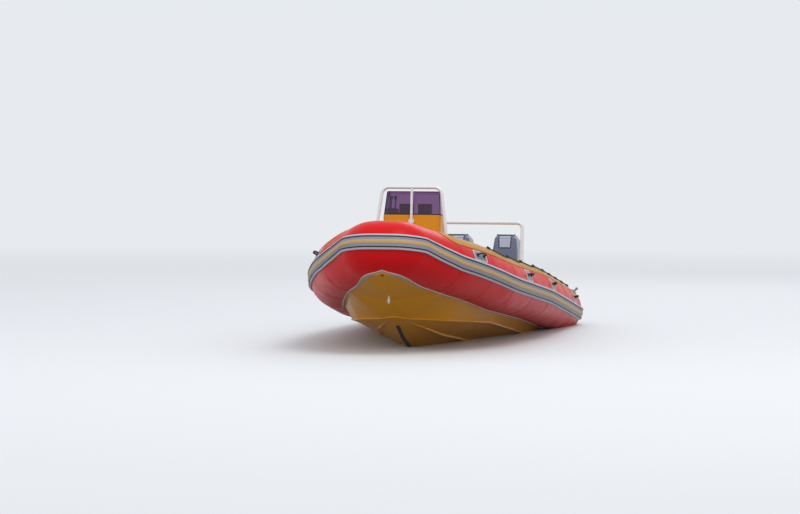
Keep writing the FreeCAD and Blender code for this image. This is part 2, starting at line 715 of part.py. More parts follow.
def make_hull():
    """Hull, its rim, the sole, the foredeck and the transom: one outside form, split at named levels."""
    tube_space = solid("Tube_space", TUBE_CUTTER)
    block = solid("Hull_block", hull_block())
    sole = "deck_height - deck_depth"

    station, level = BOW - STEM[0][0], STEM[0][1]
    lip = S["chine_lip"]
    foot = (
        (station - 60, level + 10), (station + lip, level - 6),
        (station + lip, level + 8), (station - 40, level + 30),
    )
    strips = [moulded_strip(chine_section, foot), moulded_strip(spray_rail_section)]
    strips += [mirrored(strip) for strip in strips]
    rails = [solid(f"Spray_rail_{i}", strip) for i, strip in enumerate(strips, start=1)]
    moulding = fuse_all("Hull_moulding", [block, *rails])

    above_sole = box("Above_sole", FAR, FAR, FAR, -1000, -FAR / 2, sole)
    hull = combine("Part::Cut", "Hull_below_sole", moulding, above_sole)
    adopt("hull", combine("Part::Cut", "Hull", hull, tube_space))

    front = box("Foredeck_space", FAR, FAR, "foredeck_rise + deck_depth", AT_FOREDECK, -FAR / 2, sole)
    foredeck = combine("Part::Common", "Foredeck_block", block, front)
    adopt("foredeck", combine("Part::Cut", "Foredeck", foredeck, tube_space))

    board = box("Transom_board", "transom_depth", FAR, "transom_height / cos(transom_rake)", 0, -FAR / 2, 0)
    board.Placement = Placement(Vector(0, -FAR / 2, 0), Rotation(ACROSS, -S["transom_rake"]))
    below_sole = box("Below_sole", FAR, FAR, FAR, -1000, -FAR / 2, f"{sole} - {FAR}")
    transom = combine("Part::Common", "Transom_block", block, board)
    transom = combine("Part::Cut", "Transom_above_sole", transom, below_sole)
    transom = combine("Part::Cut", "Transom_form", transom, tube_space)
    adopt("transom", gather("Transom", [transom]))

    slab = box("Sole_slab", f"{AT_FOREDECK} + 400", FAR, "deck_depth", -400, -FAR / 2, sole)
    deck = combine("Part::Common", "Deck_block", block, slab)
    deck = combine("Part::Cut", "Deck_clear", deck, tube_space)
    adopt("deck", combine("Part::Cut", "Deck", deck, transom))

    wide = hull_block(S["flange_depth"])
    near_tube = tube_side(S["flange_height"])
    near_tube = near_tube.fuse(mirrored(near_tube))
    rim_strip = wide.common(near_tube).cut(TUBE_CUTTER).cut(hull_block())
    behind = half_space(Vector(0, 0, 0), Vector(-1, 0, -RAKE))
    rim_strip = rim_strip.cut(behind).common(half_space(UP * S["rim_low"], UP))
    publish("hull_rim", rim_strip.cut(half_space(UP * S["rim_high"], UP)))


def make_keel_guard():
    """Guard along the keel, from the transom to above the running waterline at the stem."""
    line = [Vector(station, 0, keel) for station, keel, *rest in HULL_SECTIONS]
    ahead, behind = line[-1], line[-2]
    share = (BOW - S["guard_station"] - behind.x) / (ahead.x - behind.x)
    line[-1] = behind + (ahead - behind) * share
    low = [spot - UP * S["guard_depth"] for spot in line]
    high = [spot + UP * 20 for spot in reversed(line)]
    side = polygon(low + high)
    guard = side.extrude(ACROSS * S["guard_width"])
    guard.translate(ACROSS * (-S["guard_width"] / 2))
    publish("keel_guard", guard.cut(hull_block()))


def eye_plate(root, hole, axis):
    """Towing eye: a plate from its root on the hull to a round nose with a hole along an axis."""
    radius = S["eye_hole_radius"]
    nose = radius + S["eye_rim"]
    reach = (hole - root).normalize()
    side = reach.cross(axis).normalize() * nose
    far = root - reach * 40
    web = polygon([far + side, hole + side, hole - side, far - side]).extrude(axis * S["eye_depth"])
    ring = Part.makeCylinder(nose, S["eye_depth"], hole, axis)
    bore = Part.makeCylinder(radius, S["eye_depth"], hole, axis)
    eye = web.fuse(ring).cut(bore)
    eye.translate(axis * (-S["eye_depth"] / 2))
    return eye


def make_eyes():
    """Bow eye on the stem with its hole across, and two stern eyes that lie flat on the transom."""
    stem_foot, stem_head = (Vector(BOW - back, 0, high) for back, high in STEM[1:])
    share = (S["bow_eye_height"] - stem_foot.z) / (stem_head.z - stem_foot.z)
    root = stem_foot + (stem_head - stem_foot) * share
    normal = (stem_head - stem_foot).cross(ACROSS).normalize() * -1
    if normal.x < 0:
        normal = normal * -1
    eye = eye_plate(root, root + normal * S["bow_eye_reach"], ACROSS)
    publish("bow_eye", eye.cut(hull_block()))

    eyes = []
    for side, sign in SIDES:
        height = S["stern_eye_height"]
        root = Vector(-height * RAKE, sign * S["stern_eye_spacing"] / 2, height)
        eye = eye_plate(root, root - AHEAD * S["stern_eye_reach"], UP)
        eyes.append(solid(f"stern_eye_{side}", eye.cut(hull_block())))
    adopt("stern_eyes", gather("Stern_eyes", eyes))


def make_mooring_post():
    at_post = "hull_length - post_station"
    parts = [
        bar("Post", "post_radius", "post_height", at_post, 0, FOREDECK_TOP),
        bar("Post_foot", "post_radius * 2.2", 10, at_post, 0, FOREDECK_TOP),
        bar("Post_pin", 9, "post_radius * 2 + 90", at_post, "-post_radius - 45",
            f"{FOREDECK_TOP} + post_height * 0.72", axis="Y"),
    ]
    adopt("mooring_post", fuse_all("Mooring_post", parts))


def make_console():
    foot_front = AT_CONSOLE
    head_front = f"{AT_CONSOLE} - console_lean"
    head = "deck_height + console_height"
    corners = (
        (foot_front, "deck_height"),
        (head_front, head),
        (f"{head_front} - console_head", head),
        (f"{head_front} - console_head - dash_reach", f"{head} - dash_drop"),
        (f"{AT_CONSOLE} - console_foot", f"{head} - dash_drop - 60"),
        (f"{AT_CONSOLE} - console_foot", "deck_height"),
    )
    console = plate("Console", "XZ", corners, "console_width")
    soften(console, "console_round", is_upright)
    adopt("console", console)

    head = S["deck_height"] + S["console_height"]
    front = CONSOLE_FRONT - S["console_lean"] - S["console_round"]
    screen_top = head + S["screen_height"]
    levels = (  # Columns: height, half width, front, length of the sides
        (head, S["console_width"] / 2 - 6, front, S["screen_side"]),
        (screen_top, S["screen_head_width"] / 2, front - S["screen_lean"], S["screen_head_side"]),
    )
    wires = []
    for height, half, ahead, side in levels:
        wall = S["screen_depth"]
        outer = [(ahead - side, -half), (ahead, -half), (ahead, half), (ahead - side, half)]
        inner = [(ahead - side, half - wall), (ahead - wall, half - wall),
                 (ahead - wall, wall - half), (ahead - side, wall - half)]
        ring = [Vector(x, y, height) for x, y in outer + inner]
        wires.append(Part.makePolygon([*ring, ring[0]]))
    publish("windscreen", Part.makeLoft(wires, True, True))

    displays = []
    for side, sign in SIDES:
        middle = f"{sign} * display_spacing / 2"
        back = f"{AT_CONSOLE} - console_lean - console_head + 60"
        case = box(f"Display_case_{side}", "display_depth", "display_width", "display_height", back,
                   f"{middle} - display_width / 2", "deck_height + console_height + display_lift")
        leg = bar(f"Display_leg_{side}", 17, "display_lift + 5", f"{back} + display_depth / 2", middle,
                  "deck_height + console_height")
        displays.append(combine("Part::Fuse", f"Display_{side}", case, leg))
    adopt("displays", gather("Displays", displays))


def make_console_panels():
    """Dark instrument panel on the sloping dash, and a locker hatch on the console's front."""
    top = S["deck_height"] + S["console_height"]
    dash_top = Vector(CONSOLE_FRONT - S["console_lean"] - S["console_head"], 0, top)
    dash_foot = dash_top + Vector(-S["dash_reach"], 0, -S["dash_drop"])
    front_foot = Vector(CONSOLE_FRONT, 0, S["deck_height"])
    front_top = Vector(CONSOLE_FRONT - S["console_lean"], 0, top)
    panels = (  # Columns: name, foot, top, margins at the foot and the top, half width, corner, depth, side
        ("dash_panel", dash_foot, dash_top, 18, 18, S["console_width"] / 2 - 60, 14, 5, -1),
        ("console_hatch", front_foot, front_top, 110, 300, S["console_width"] / 2 - 85, 45, 7, 1),
    )
    for name, foot, head, low_margin, high_margin, half, corner, depth, side in panels:
        rise = (head - foot).normalize()
        ring = ((head - foot).Length - high_margin, low_margin, half, corner)
        inset = (ring[0] - depth / 2, ring[1] + depth / 2, ring[2] - depth / 2, ring[3] - depth / 2)
        panel = ring_loft(((0, *ring), (depth / 2, *ring), (depth, *inset)))
        away = Vector(rise.z * side, 0, -rise.x * side)
        panel.Placement = Placement(foot, Rotation(rise, away.cross(rise), away, "ZXY"))
        publish(name, panel)


def foot_disc(x, y):
    """Round foot of a leg, on the sole."""
    return Part.makeCylinder(S["rail_foot_radius"], S["rail_foot_depth"], Vector(x, y, S["deck_height"]))


def make_console_rail():
    """Hoop ahead of the console, with a strut down its middle to the console's front."""
    station = CONSOLE_FRONT - S["console_lean"] + S["rail_radius"] + 6
    top, sole = S["deck_height"] + S["rail_height"], S["deck_height"]
    foot, head = S["rail_foot"] / 2, S["rail_head"] / 2
    slope = (foot - head) / (top - sole)
    low = sole - 40
    points = [
        Vector(station, -foot - slope * 40, low), Vector(station, -head, top),
        Vector(station, head, top), Vector(station, foot + slope * 40, low),
    ]
    rail = pipe(points, S["rail_bend"], S["rail_radius"])
    strut_foot = S["deck_height"] + S["console_height"] - 90
    strut = Part.makeCylinder(S["rail_radius"] - 3, top - strut_foot, Vector(station, 0, strut_foot))
    pad = Part.makeCylinder(28, 60, Vector(station - 60, 0, strut_foot + 25), AHEAD)
    rail = rail.fuse([strut, pad, foot_disc(station, foot), foot_disc(station, -foot)])
    rail = rail.common(half_space(Vector(0, 0, sole), UP))
    console = find("console")
    publish("console_rail", rail.cut(console.Shape))


def make_stern_frame():
    """Hoop across the cockpit aft, with a brace ahead of each leg."""
    station, sole = S["frame_station"], S["deck_height"]
    half, top = S["frame_width"] / 2, sole + S["frame_height"]
    points = [Vector(station, -half, sole), Vector(station, -half, top),
              Vector(station, half, top), Vector(station, half, sole)]
    frame = pipe(points, S["frame_bend"], S["frame_radius"])
    extra = []
    for sign in (PORT, STARBOARD):
        y = sign * half
        start = Vector(station + S["brace_reach"], y, sole - 40)
        end = Vector(station, y, sole + S["brace_rise"])
        extra.append(Part.makeCylinder(S["brace_radius"], (end - start).Length, start, end - start))
        extra.append(foot_disc(station, y))
        extra.append(foot_disc(station + S["brace_reach"] * 0.95, y))
    frame = frame.fuse(extra).common(half_space(Vector(0, 0, sole), UP))
    publish("stern_frame", frame.removeSplitter())


def wheel_frame():
    """Hub centre of the steering wheel, its axis towards the helm, and the shaft's start on the console."""
    station = CONSOLE_FRONT - S["console_foot"]
    turn = math.radians(S["wheel_tilt"])
    axis = Vector(-math.cos(turn), 0, math.sin(turn))
    root = Vector(station, 0, S["deck_height"] + S["wheel_height"] - S["wheel_reach"] * math.sin(turn))
    return root + axis * S["wheel_reach"], axis, root


def make_steering_wheel():
    """Wheel turning on a stub that stands out of the console."""
    hub, axis, root = wheel_frame()
    reach = S["wheel_reach"]
    console = find("console")
    stub = Part.makeCylinder(S["wheel_shaft_radius"], reach + 30 + 12, root - axis * 30, axis)
    boss = Part.makeCylinder(38, 30 + 24, root - axis * 30, axis)
    publish("wheel_stub", stub.fuse(boss).cut(console.Shape))

    ring = doc.addObject("Part::Torus", "Wheel_rim")
    bind(ring, Radius1="wheel_radius - wheel_bar", Radius2="wheel_bar")
    parts = [ring, bar("Wheel_hub", "wheel_hub_radius", 26, 0, 0, -20)]
    for turn in (90, 210, 330):
        way = Vector(math.cos(math.radians(turn)), math.sin(math.radians(turn)), 0)
        spoke = bar(f"Wheel_spoke_{turn}", "wheel_bar * 0.6", "wheel_radius - wheel_bar - 10")
        spoke.Placement = Placement(way * 10, Rotation(UP, way))
        parts.append(spoke)
    bore = bar("Wheel_bore", "wheel_shaft_radius + pin_gap", 40, 0, 0, -30)
    wheel = combine("Part::Cut", "Steering_wheel", fuse_all("Wheel_form", parts), bore)
    wheel.Placement = Placement(hub, Rotation(UP, axis))
    adopt("steering_wheel", wheel)


def make_throttle():
    """Twin-lever control on the dash's top, to starboard of the wheel."""
    back = f"{AT_CONSOLE} - console_lean - console_head + 20"
    top = "deck_height + console_height"
    across = "-console_width / 2 + 32"
    case = box("Throttle_case", "throttle_length", "throttle_width", "throttle_height",
               f"{back} + 90", across, top)
    levers = []
    for step, name in ((-1, "a"), (1, "b")):
        y = f"{across} + throttle_width / 2 + {step} * throttle_width / 4"
        stem = bar(f"Lever_{name}", 7, 110, f"{back} + 165", y, f"{top} + throttle_height - 10")
        knob = bar(f"Knob_{name}", 16, 34, f"{back} + 165", y, f"{top} + throttle_height + 95")
        levers += [stem, knob]
    adopt("throttle", fuse_all("Throttle", [case, *levers]))


def make_seat():
    """Helm seat: a moulded base, a cushion and a low backrest."""
    aft = f"{AT_SEAT} - seat_length"
    top = "deck_height + seat_height"
    corners = (
        (f"{AT_SEAT} - 40", "deck_height"), (AT_SEAT, top),
        (aft, top), (f"{aft} + 40", "deck_height"),
    )
    base = plate("Seat_base", "XZ", corners, "seat_width")
    soften(base, 45, is_upright)
    adopt("seat_base", base)
    corners = (
        (f"{AT_SEAT} - 4", top), (f"{AT_SEAT} - 4", f"{top} + cushion_depth"),
        (f"{aft} + 110", f"{top} + cushion_depth"), (f"{aft} + 110", top),
    )
    cushion = plate("Seat_cushion", "XZ", corners, "seat_width - 8")
    soften(cushion, 30, is_upright)
    adopt("seat_cushion", cushion)
    high = f"{top} + cushion_depth + backrest_height"
    corners = (
        (f"{aft} + 105", top), (f"{aft} + 85", high), (f"{aft} + 5", high), (f"{aft} + 10", top),
    )
    backrest = plate("Backrest", "XZ", corners, "seat_width - 8")
    soften(backrest, 25, is_upright)
    adopt("seat_backrest", backrest)


def on_tube(station, degrees, radius):
    """A point over the port tube at a station, with the directions along the tube and away from it."""
    run = next(i for i in RUNS[1:] if LINE[i + 1].x <= station <= LINE[i].x)
    start, along, out, up = run_frame(run)
    spot = start + along * ((start.x - station) / -along.x)
    turn = math.radians(degrees)
    away = out * math.cos(turn) + up * math.sin(turn)
    return spot + away * radius, along, away


HANDLE_STATIONS = (BOW - 1085, BOW - 2535, BOW - 3786, 594)
LOOP_COUNT = 9
LOOP_STEP = (BOW - S["loop_front"] - S["loop_aft"]) / (LOOP_COUNT - 1)
LOOP_STATIONS = [BOW - S["loop_front"] - i * LOOP_STEP for i in range(LOOP_COUNT)]
VALVE_STATIONS = (BOW - 1200, BOW - 3200, 700)


def strake_edge(station):
    """Angle of the strake's upper edge at a station."""
    angles = list(zip(LINE, STRAKE_ANGLES))
    for (ahead, first), (behind, last) in zip(angles[1:], angles[2:]):
        if behind.x <= station <= ahead.x:
            middle = first + (last - first) * (ahead.x - station) / (ahead.x - behind.x)
            return middle + math.degrees(S["strake_width"] / 2 / (S["tube_radius"] + S["strake_depth"]))
    raise ValueError(f"no strake at station {station}")


def make_handles():
    """Patches on the tube between the strake and the wear pad, each with a grab handle."""
    patches, handles = [], []
    inner = S["tube_radius"] + S["seat_gap"]
    margin = math.degrees(S["patch_margin"] / inner)
    half_patch, half_handle = S["patch_length"] / 2, S["handle_length"] / 2
    for station in HANDLE_STATIONS:
        low = max(strake_edge(station + half_patch), strake_edge(station - half_patch)) + margin
        high = S["pad_low_angle"] - margin
        spot, along, away = on_tube(station, (low + high) / 2, inner + S["patch_depth"])
        middle, along, away = on_tube(station, (low + high) / 2, 0)
        out = along.cross(UP).normalize()
        up = out.cross(along).normalize()
        section = band(inner, inner + S["patch_depth"], low, high)
        face = section(lambda u, v: middle - along * half_patch + out * u + up * v, along)
        patches.append(face.extrude(along * S["patch_length"]))
        half = along * (half_handle - S["handle_radius"])
        rise = away * S["handle_rise"]
        path = [spot - half - away * 2, spot - half * 0.8 + rise,
                spot + half * 0.8 + rise, spot + half - away * 2]
        handle = pipe(path, 18, S["handle_radius"]).cut(patches[-1])
        handles.append(handle.cut(Part.makeCylinder(inner, 400, middle - along * 200, along)))
    for side, sign in SIDES:
        for name, shapes in (("patches", patches), ("handles", handles)):
            shape = Part.makeCompound(shapes)
            publish(f"{name}_{side}", shape if sign == PORT else mirrored(shape))


def make_lifeline():
    """Line along the tube, through a loop at each station and drooping between them."""
    radius = S["tube_radius"] + S["pad_depth"] + S["line_radius"] + 3
    points = []
    for ahead, behind in zip(LOOP_STATIONS, LOOP_STATIONS[1:]):
        step = ahead - behind
        for share, droop in ((0.0, 0.0), (0.25, 0.72), (0.5, 1.0), (0.75, 0.72)):
            angle = S["line_angle"] - droop * S["line_sag"]
            points.append(on_tube(ahead - share * step, angle, radius)[0])
    points.append(on_tube(LOOP_STATIONS[-1], S["line_angle"], radius)[0])
    line = pipe(points, 200, S["line_radius"])
    room = pipe(points, 200, S["line_radius"] + 1.5)
    loops = []
    for station in LOOP_STATIONS:
        spot, along, away = on_tube(station, S["line_angle"], S["tube_radius"] + S["pad_depth"] + 1)
        loops.append(Part.makeCylinder(S["loop_radius"], S["loop_height"], spot, away).cut(room))
    for side, sign in SIDES:
        publish(f"lifeline_{side}", line if sign == PORT else mirrored(line))
        shape = Part.makeCompound(loops)
        publish(f"line_loops_{side}", shape if sign == PORT else mirrored(shape))


def make_cleats():
    """Mooring cleat on each tube by the stern: a moulded foot and a horn on two posts."""
    seat = S["tube_radius"] + S["pad_depth"] + 2 * S["seat_gap"]
    spot, along, away = on_tube(S["cleat_station"], S["cleat_angle"], seat)
    half, high = S["cleat_length"] / 2, S["cleat_height"]
    out = away.cross(along).normalize()
    corners = [spot + along * (half * u) + out * (28 * v) - away * 10
               for u, v in ((0.8, 1), (-0.8, 1), (-0.8, -1), (0.8, -1))]
    foot = polygon(corners).extrude(away * 16)
    posts = [Part.makeCylinder(9, high - 2, spot + along * (half * share), away) for share in (0.3, -0.3)]
    horn = Part.makeCylinder(9, 2 * half, spot + away * high - along * half, along)
    tube_here = Part.makeCylinder(seat, 600, spot - away * seat - along * 300, along)
    cleat = foot.fuse([*posts, horn]).cut(tube_here)
    publish("stern_cleats", Part.makeCompound([cleat, mirrored(cleat)]))


def make_valves():
    """Air valves on the inboard side of each chamber."""
    valves = []
    radius = S["tube_radius"] + S["seat_gap"]
    for station in VALVE_STATIONS:
        spot, along, away = on_tube(station, 160, radius)
        valve = Part.makeCylinder(S["valve_radius"], 60, spot - away * 50, away)
        tube_here = Part.makeCylinder(radius, 400, spot - away * radius - along * 200, along)
        valves.append(valve.cut(tube_here))
    both = valves + [mirrored(valve) for valve in valves]
    publish("air_valves", Part.makeCompound(both))


def rounded_ring(front, aft, half, corner, height):
    """A level ring: a rectangle with round corners."""
    spots = ((front, half), (aft, half), (aft, -half), (front, -half))
    edges = []
    joints = []
    for i, (x, y) in enumerate(spots):
        before, after = spots[i - 1], spots[(i + 1) % 4]
        here = Vector(x, y, height)
        to_before = (Vector(*before, height) - here).normalize()
        to_after = (Vector(*after, height) - here).normalize()
        centre = here + (to_before + to_after) * corner
        top = centre - (to_before + to_after).normalize() * corner
        joints.append((here + to_before * corner, top, here + to_after * corner))
    for i, (first, top, last) in enumerate(joints):
        edges.append(Part.Arc(first, top, last).toShape())
        edges.append(Part.LineSegment(last, joints[(i + 1) % 4][0]).toShape())
    return Part.Wire(edges)


def ring_loft(rows):
    """Solid through level rings. Columns: height, front, aft, half width, corner."""
    return Part.makeLoft([rounded_ring(front, aft, half, corner, height)
                          for height, front, aft, half, corner in rows], True, True)


def cowl_rows(wall):
    """Cowl's rings, as shares of its size."""
    half, length, rise = S["cowl_width"] / 2, S["cowl_length"], S["motor_rise"]
    foot = S["cowl_foot"]
    shares = (  # Columns: height, front, length and half width as shares, corner
        (0.00, 0.12, 0.78, 0.70, 60),
        (0.13, 0.195, 0.985, 0.96, 62),
        (0.30, 0.20, 1.00, 1.00, 62),
        (0.72, 0.17, 0.955, 0.96, 60),
        (0.95, 0.125, 0.88, 0.84, 52),
        (1.00, 0.06, 0.74, 0.72, 42),
    )
    rows = []
    for up, front, long, wide, corner in shares:
        height = foot + (rise - foot) * up
        height += wall if up == 0 else (-wall if up == 1 else 0)
        ahead, behind = length * front - wall, length * (front - long) + wall
        rows.append((height, ahead, behind, half * wide - wall, corner - wall))
    return rows


def make_leg():
    """Motor's mounting yokes, drive housing, gearcase and shaft, about the steering axis."""
    pin = S["steer_pin_radius"]
    drop, plate_at = S["shaft_drop"], S["plate_drop"]
    arm = S["arm_rise"]
    shaft_back = -330
    housing = ring_loft((
        (S["cowl_foot"], 30, -300, 95, 40),
        (S["cowl_foot"] - 60, -52, -250, 72, 38),
        (-250, -60, -200, 45, 30),
        (-plate_at, -62, -205, 36, 28),
    ))
    lower = ring_loft((
        (-plate_at, -62, -205, 34, 26),
        (-drop, -70, -235, 22, 18),
    ))
    splash_plate = ring_loft(((-plate_at - 10, -45, -430, 92, 60), (-plate_at, -45, -430, 92, 60)))
    radius, tail = S["gearcase_radius"], S["hub_radius"] + 2
    torpedo = Part.Face(Part.Wire([
        Part.Arc(Vector(30, 0, 0), Vector(0, 0, radius * 0.72), Vector(-70, 0, radius)).toShape(),
        Part.LineSegment(Vector(-70, 0, radius), Vector(shaft_back, 0, tail)).toShape(),
        Part.LineSegment(Vector(shaft_back, 0, tail), Vector(shaft_back, 0, 0)).toShape(),
        Part.LineSegment(Vector(shaft_back, 0, 0), Vector(30, 0, 0)).toShape(),
    ])).revolve(Vector(0, 0, 0), AHEAD, 360)
    torpedo.translate(Vector(0, 0, -drop))
    shaft_start = Vector(shaft_back + 20, 0, -drop)
    shaft = Part.makeCylinder(S["prop_shaft_radius"], S["hub_length"] + 50, shaft_start, AHEAD * -1)
    nut = Part.makeCylinder(22, 18, Vector(shaft_back - S["hub_length"] - 12, 0, -drop), AHEAD * -1)
    skeg = polygon([Vector(-95, -5, -drop), Vector(-150, -5, -drop - 175), Vector(-235, -5, -drop - 180),
                    Vector(-290, -5, -drop - 20)]).extrude(ACROSS * 10)
    steer_pin = Part.makeCylinder(pin, arm + 330, Vector(0, 0, -330))
    upper = ring_loft(((arm - 45, 34, -140, 40, 18), (arm, 34, -140, 40, 18)))
    lower_yoke = ring_loft(((-335, 30, -110, 34, 16), (-295, 30, -110, 34, 16)))
    arm_front = S["arm_reach"] + 22
    arm_plate = ring_loft(((arm - 24, arm_front, -20, 25, 12), (arm, arm_front, -20, 25, 12)))
    tie_pin = Part.makeCylinder(S["tie_pin_radius"], 40, Vector(S["arm_reach"], 0, arm))
    return housing.fuse([lower, splash_plate, torpedo, shaft, nut, skeg, steer_pin, upper, lower_yoke,
                         arm_plate, tie_pin])


def make_propeller():
    """Three twisted blades on a hub. Columns: radius as a share of the tip, chord."""
    hub = Part.makeCone(S["hub_radius"], S["hub_radius"] - 8, S["hub_length"], Vector(0, 0, 0), AHEAD * -1)
    middle = -S["hub_length"] * 0.45
    rings = []
    for share, chord in ((0.2, 64), (0.4, 104), (0.6, 128), (0.8, 124), (0.93, 92), (1.0, 34)):
        radius = S["prop_radius"] * share
        pitch = math.atan2(S["prop_pitch"], 2 * math.pi * radius)
        way = Vector(math.sin(pitch), math.cos(pitch), 0) * (chord / 2)
        thick = Vector(math.cos(pitch), -math.sin(pitch), 0) * (2.0 + 2.0 * (1 - share))
        centre = Vector(middle, 0, radius)
        ring = [centre - way, centre + thick, centre + way, centre - thick]
        rings.append(Part.makePolygon([*ring, ring[0]]))
    blade = Part.makeLoft(rings, True, True)
    blades = []
    for turn in (0, 120, 240):
        copy = blade.copy()
        copy.rotate(Vector(0, 0, 0), AHEAD, turn)
        blades.append(copy)
    bore_radius = S["prop_shaft_radius"] + S["pin_gap"]
    bore = Part.makeCylinder(bore_radius, S["hub_length"] + 20, Vector(10, 0, 0), AHEAD * -1)
    return hub.fuse(blades).cut(bore)


def make_swivel(side, across):
    """Bracket that tilts on the clamp and carries the steering pin."""
    pivot = (f"{AT_STEERING} + tilt_pin_ahead", "transom_height + tilt_pin_rise")
    half = "(cheek_spacing / 2 - 8)"
    parts = [
        bar(f"Swivel_tube_{side}", "steer_pin_radius + swivel_wall", 380,
            AT_STEERING, across, "transom_height - 290"),
        bar(f"Swivel_boss_{side}", "tilt_boss", f"2 * {half}",
            pivot[0], f"{across} - {half}", pivot[1], axis="Y"),
        box(f"Swivel_web_{side}", "tilt_pin_ahead", 68, 50,
            AT_STEERING, f"{across} - 34", f"{pivot[1]} - 28"),
    ]
    bores = [
        bar(f"Swivel_bore_{side}", "steer_pin_radius + pin_gap", 420,
            AT_STEERING, across, "transom_height - 310"),
        bar(f"Tilt_bore_{side}", "tilt_pin_radius + pin_gap", f"2 * {half} + 20", pivot[0],
            f"{across} - {half} - 10", pivot[1], axis="Y"),
    ]
    form = fuse_all(f"Swivel_form_{side}", parts)
    return combine("Part::Cut", f"Swivel_{side}", form, fuse_all(f"Swivel_bores_{side}", bores))


CHEEK_CORNERS = (  # Columns: ahead of the steering axis, above the transom's top
    (88, 50), (100, 92), (150, 92), (165, 40), (200, 20),
    (222, -90), (190, -90), (200, -330), (150, -345), (62, -215),
)


def make_clamp(side, across):
    """Pair of cheeks hooked over the transom, with the tilt pin between them."""
    parts = []
    for name, sign in (("inner", -1), ("outer", 1)):
        cheek = plate(f"Cheek_{name}_{side}", "XZ", CHEEK_CORNERS, "cheek_depth")
        middle = f"{across} + {sign} * (cheek_spacing + cheek_depth) / 2"
        parts.append(place(cheek, AT_STEERING, middle, "transom_height"))
    width = "(cheek_spacing + 2 * cheek_depth + 16)"
    parts.append(bar(f"Tilt_pin_{side}", "tilt_pin_radius", width, f"{AT_STEERING} + tilt_pin_ahead",
                     f"{across} - {width} / 2", "transom_height + tilt_pin_rise", axis="Y"))
    return fuse_all(f"Clamp_form_{side}", parts)


def make_cowl_trim():
    """Dark trim of a motor: a frame on the cowl's front face, and a cap with two ears on its top."""
    rows = cowl_rows(0.0)
    low, high = Vector(rows[2][1], 0, rows[2][0]), Vector(rows[3][1], 0, rows[3][0])
    rise = (high - low).normalize()
    length, half = (high - low).Length - 24, S["cowl_panel_width"] / 2
    edge, depth = S["cowl_frame_width"], 4
    outer = (length, 0, half, 30)
    inner = (length - edge, edge, half - edge, 22)
    frame = ring_loft(((0, *outer), (depth, *outer))).cut(ring_loft(((0, *inner), (depth, *inner))))
    ahead = Vector(rise.z, 0, -rise.x)
    frame.Placement = Placement(low + rise * 12, Rotation(rise, ahead.cross(rise), ahead, "ZXY"))
    top, front, aft, wide, corner = rows[-1]
    depth = S["cowl_cap_depth"]
    foot, head = (front - 4, aft + 60, wide - 4, corner), (front - 16, aft + 75, wide - 12, corner)
    cap = ring_loft(((top, *foot), (top + depth, *head)))
    ears = [Part.makeBox(40, 10, depth + 5, Vector(front - 80, y, top)) for y in (wide - 14, 4 - wide)]
    return Part.makeCompound([frame, cap.fuse(ears)])


def make_motors():
    steer_x = -RAKE * S["transom_height"] - S["steer_setback"]
    transom, hull = find("transom").Shape, find("hull").Shape
    leg, propeller, trim = make_leg(), make_propeller(), make_cowl_trim()
    cowl = ring_loft(cowl_rows(0.0)).cut(ring_loft(cowl_rows(S["cowl_wall"])))
    for side, sign in SIDES:
        across = f"{sign} * motor_spacing / 2"
        at = Vector(steer_x, sign * S["motor_spacing"] / 2, S["transom_height"])

        def moved(shape, extra=Vector(0, 0, 0)):
            copy = shape.copy()
            copy.translate(at + extra)
            return copy

        seats = solid(f"Clamp_seats_{side}", transom.fuse(hull))
        clamp = make_clamp(side, across)
        adopt(f"clamp_bracket_{side}", combine("Part::Cut", f"Clamp_{side}", clamp, seats))
        adopt(f"swivel_bracket_{side}", make_swivel(side, across))
        publish(f"leg_{side}", moved(leg))
        publish(f"cowl_{side}", moved(cowl))
        publish(f"cowl_trim_{side}", moved(trim))
        block = box(f"Engine_block_{side}", "powerhead_length", "powerhead_width", "powerhead_height",
                    f"{AT_STEERING} + 20 - powerhead_length", f"{across} - powerhead_width / 2",
                    "transom_height + cowl_foot + cowl_wall")
        adopt(f"powerhead_{side}", gather(f"Powerhead_{side}", [block]))
        publish(f"propeller_{side}", moved(propeller, Vector(-338, 0, -S["shaft_drop"])))


def make_tie_bar():
    """Bar that makes both motors steer together, on a pin of each steering arm."""
    station, level = f"{AT_STEERING} + arm_reach", "transom_height + arm_rise"
    parts = [bar("Tie_rod", "tie_radius", "motor_spacing",
                 station, "-motor_spacing / 2", f"{level} + 12", axis="Y")]
    bores = []
    for side, sign in SIDES:
        across = f"{sign} * motor_spacing / 2"
        parts.append(bar(f"Tie_boss_{side}", 20, 22, station, across, f"{level} + 1"))
        bores.append(bar(f"Tie_bore_{side}", "tie_pin_radius + pin_gap", 40, station, across, f"{level} - 8"))
    tie = combine("Part::Cut", "Tie_bar", fuse_all("Tie_form", parts), fuse_all("Tie_bores", bores))
    adopt("tie_bar", tie)


def apply_trim():
    """Sets the whole boat at its running trim, with the water surface at Z 0."""
    turn = Rotation(ACROSS, -S["trim_deg"])
    pivot = Vector(S["trim_station"], 0, S["running_draft"])
    trim = Placement(turn.multVec(pivot) * -1, turn)
    for piece in pieces:
        piece.Placement = trim.multiply(piece.Placement)
    doc.recompute()


def check_and_export():
    os.makedirs("parts", exist_ok=True)
    bad = [o.Name for o in doc.Objects if "Invalid" in o.State or "Error" in o.State]
    if bad:
        raise RuntimeError(f"these objects failed: {bad}")
    for piece in pieces:
        shape = piece.Shape
        if shape.isNull() or not shape.isValid() or shape.Volume <= 0:
            raise RuntimeError(f"{piece.Label} has no valid shape")
    for piece in pieces:
        shape = piece.Shape
        shape.exportStep(f"parts/{piece.Label}.step")
        print(f"{piece.Label:28s} solids {len(shape.Solids)} volume {shape.Volume / 1e6:9.3f} litres")


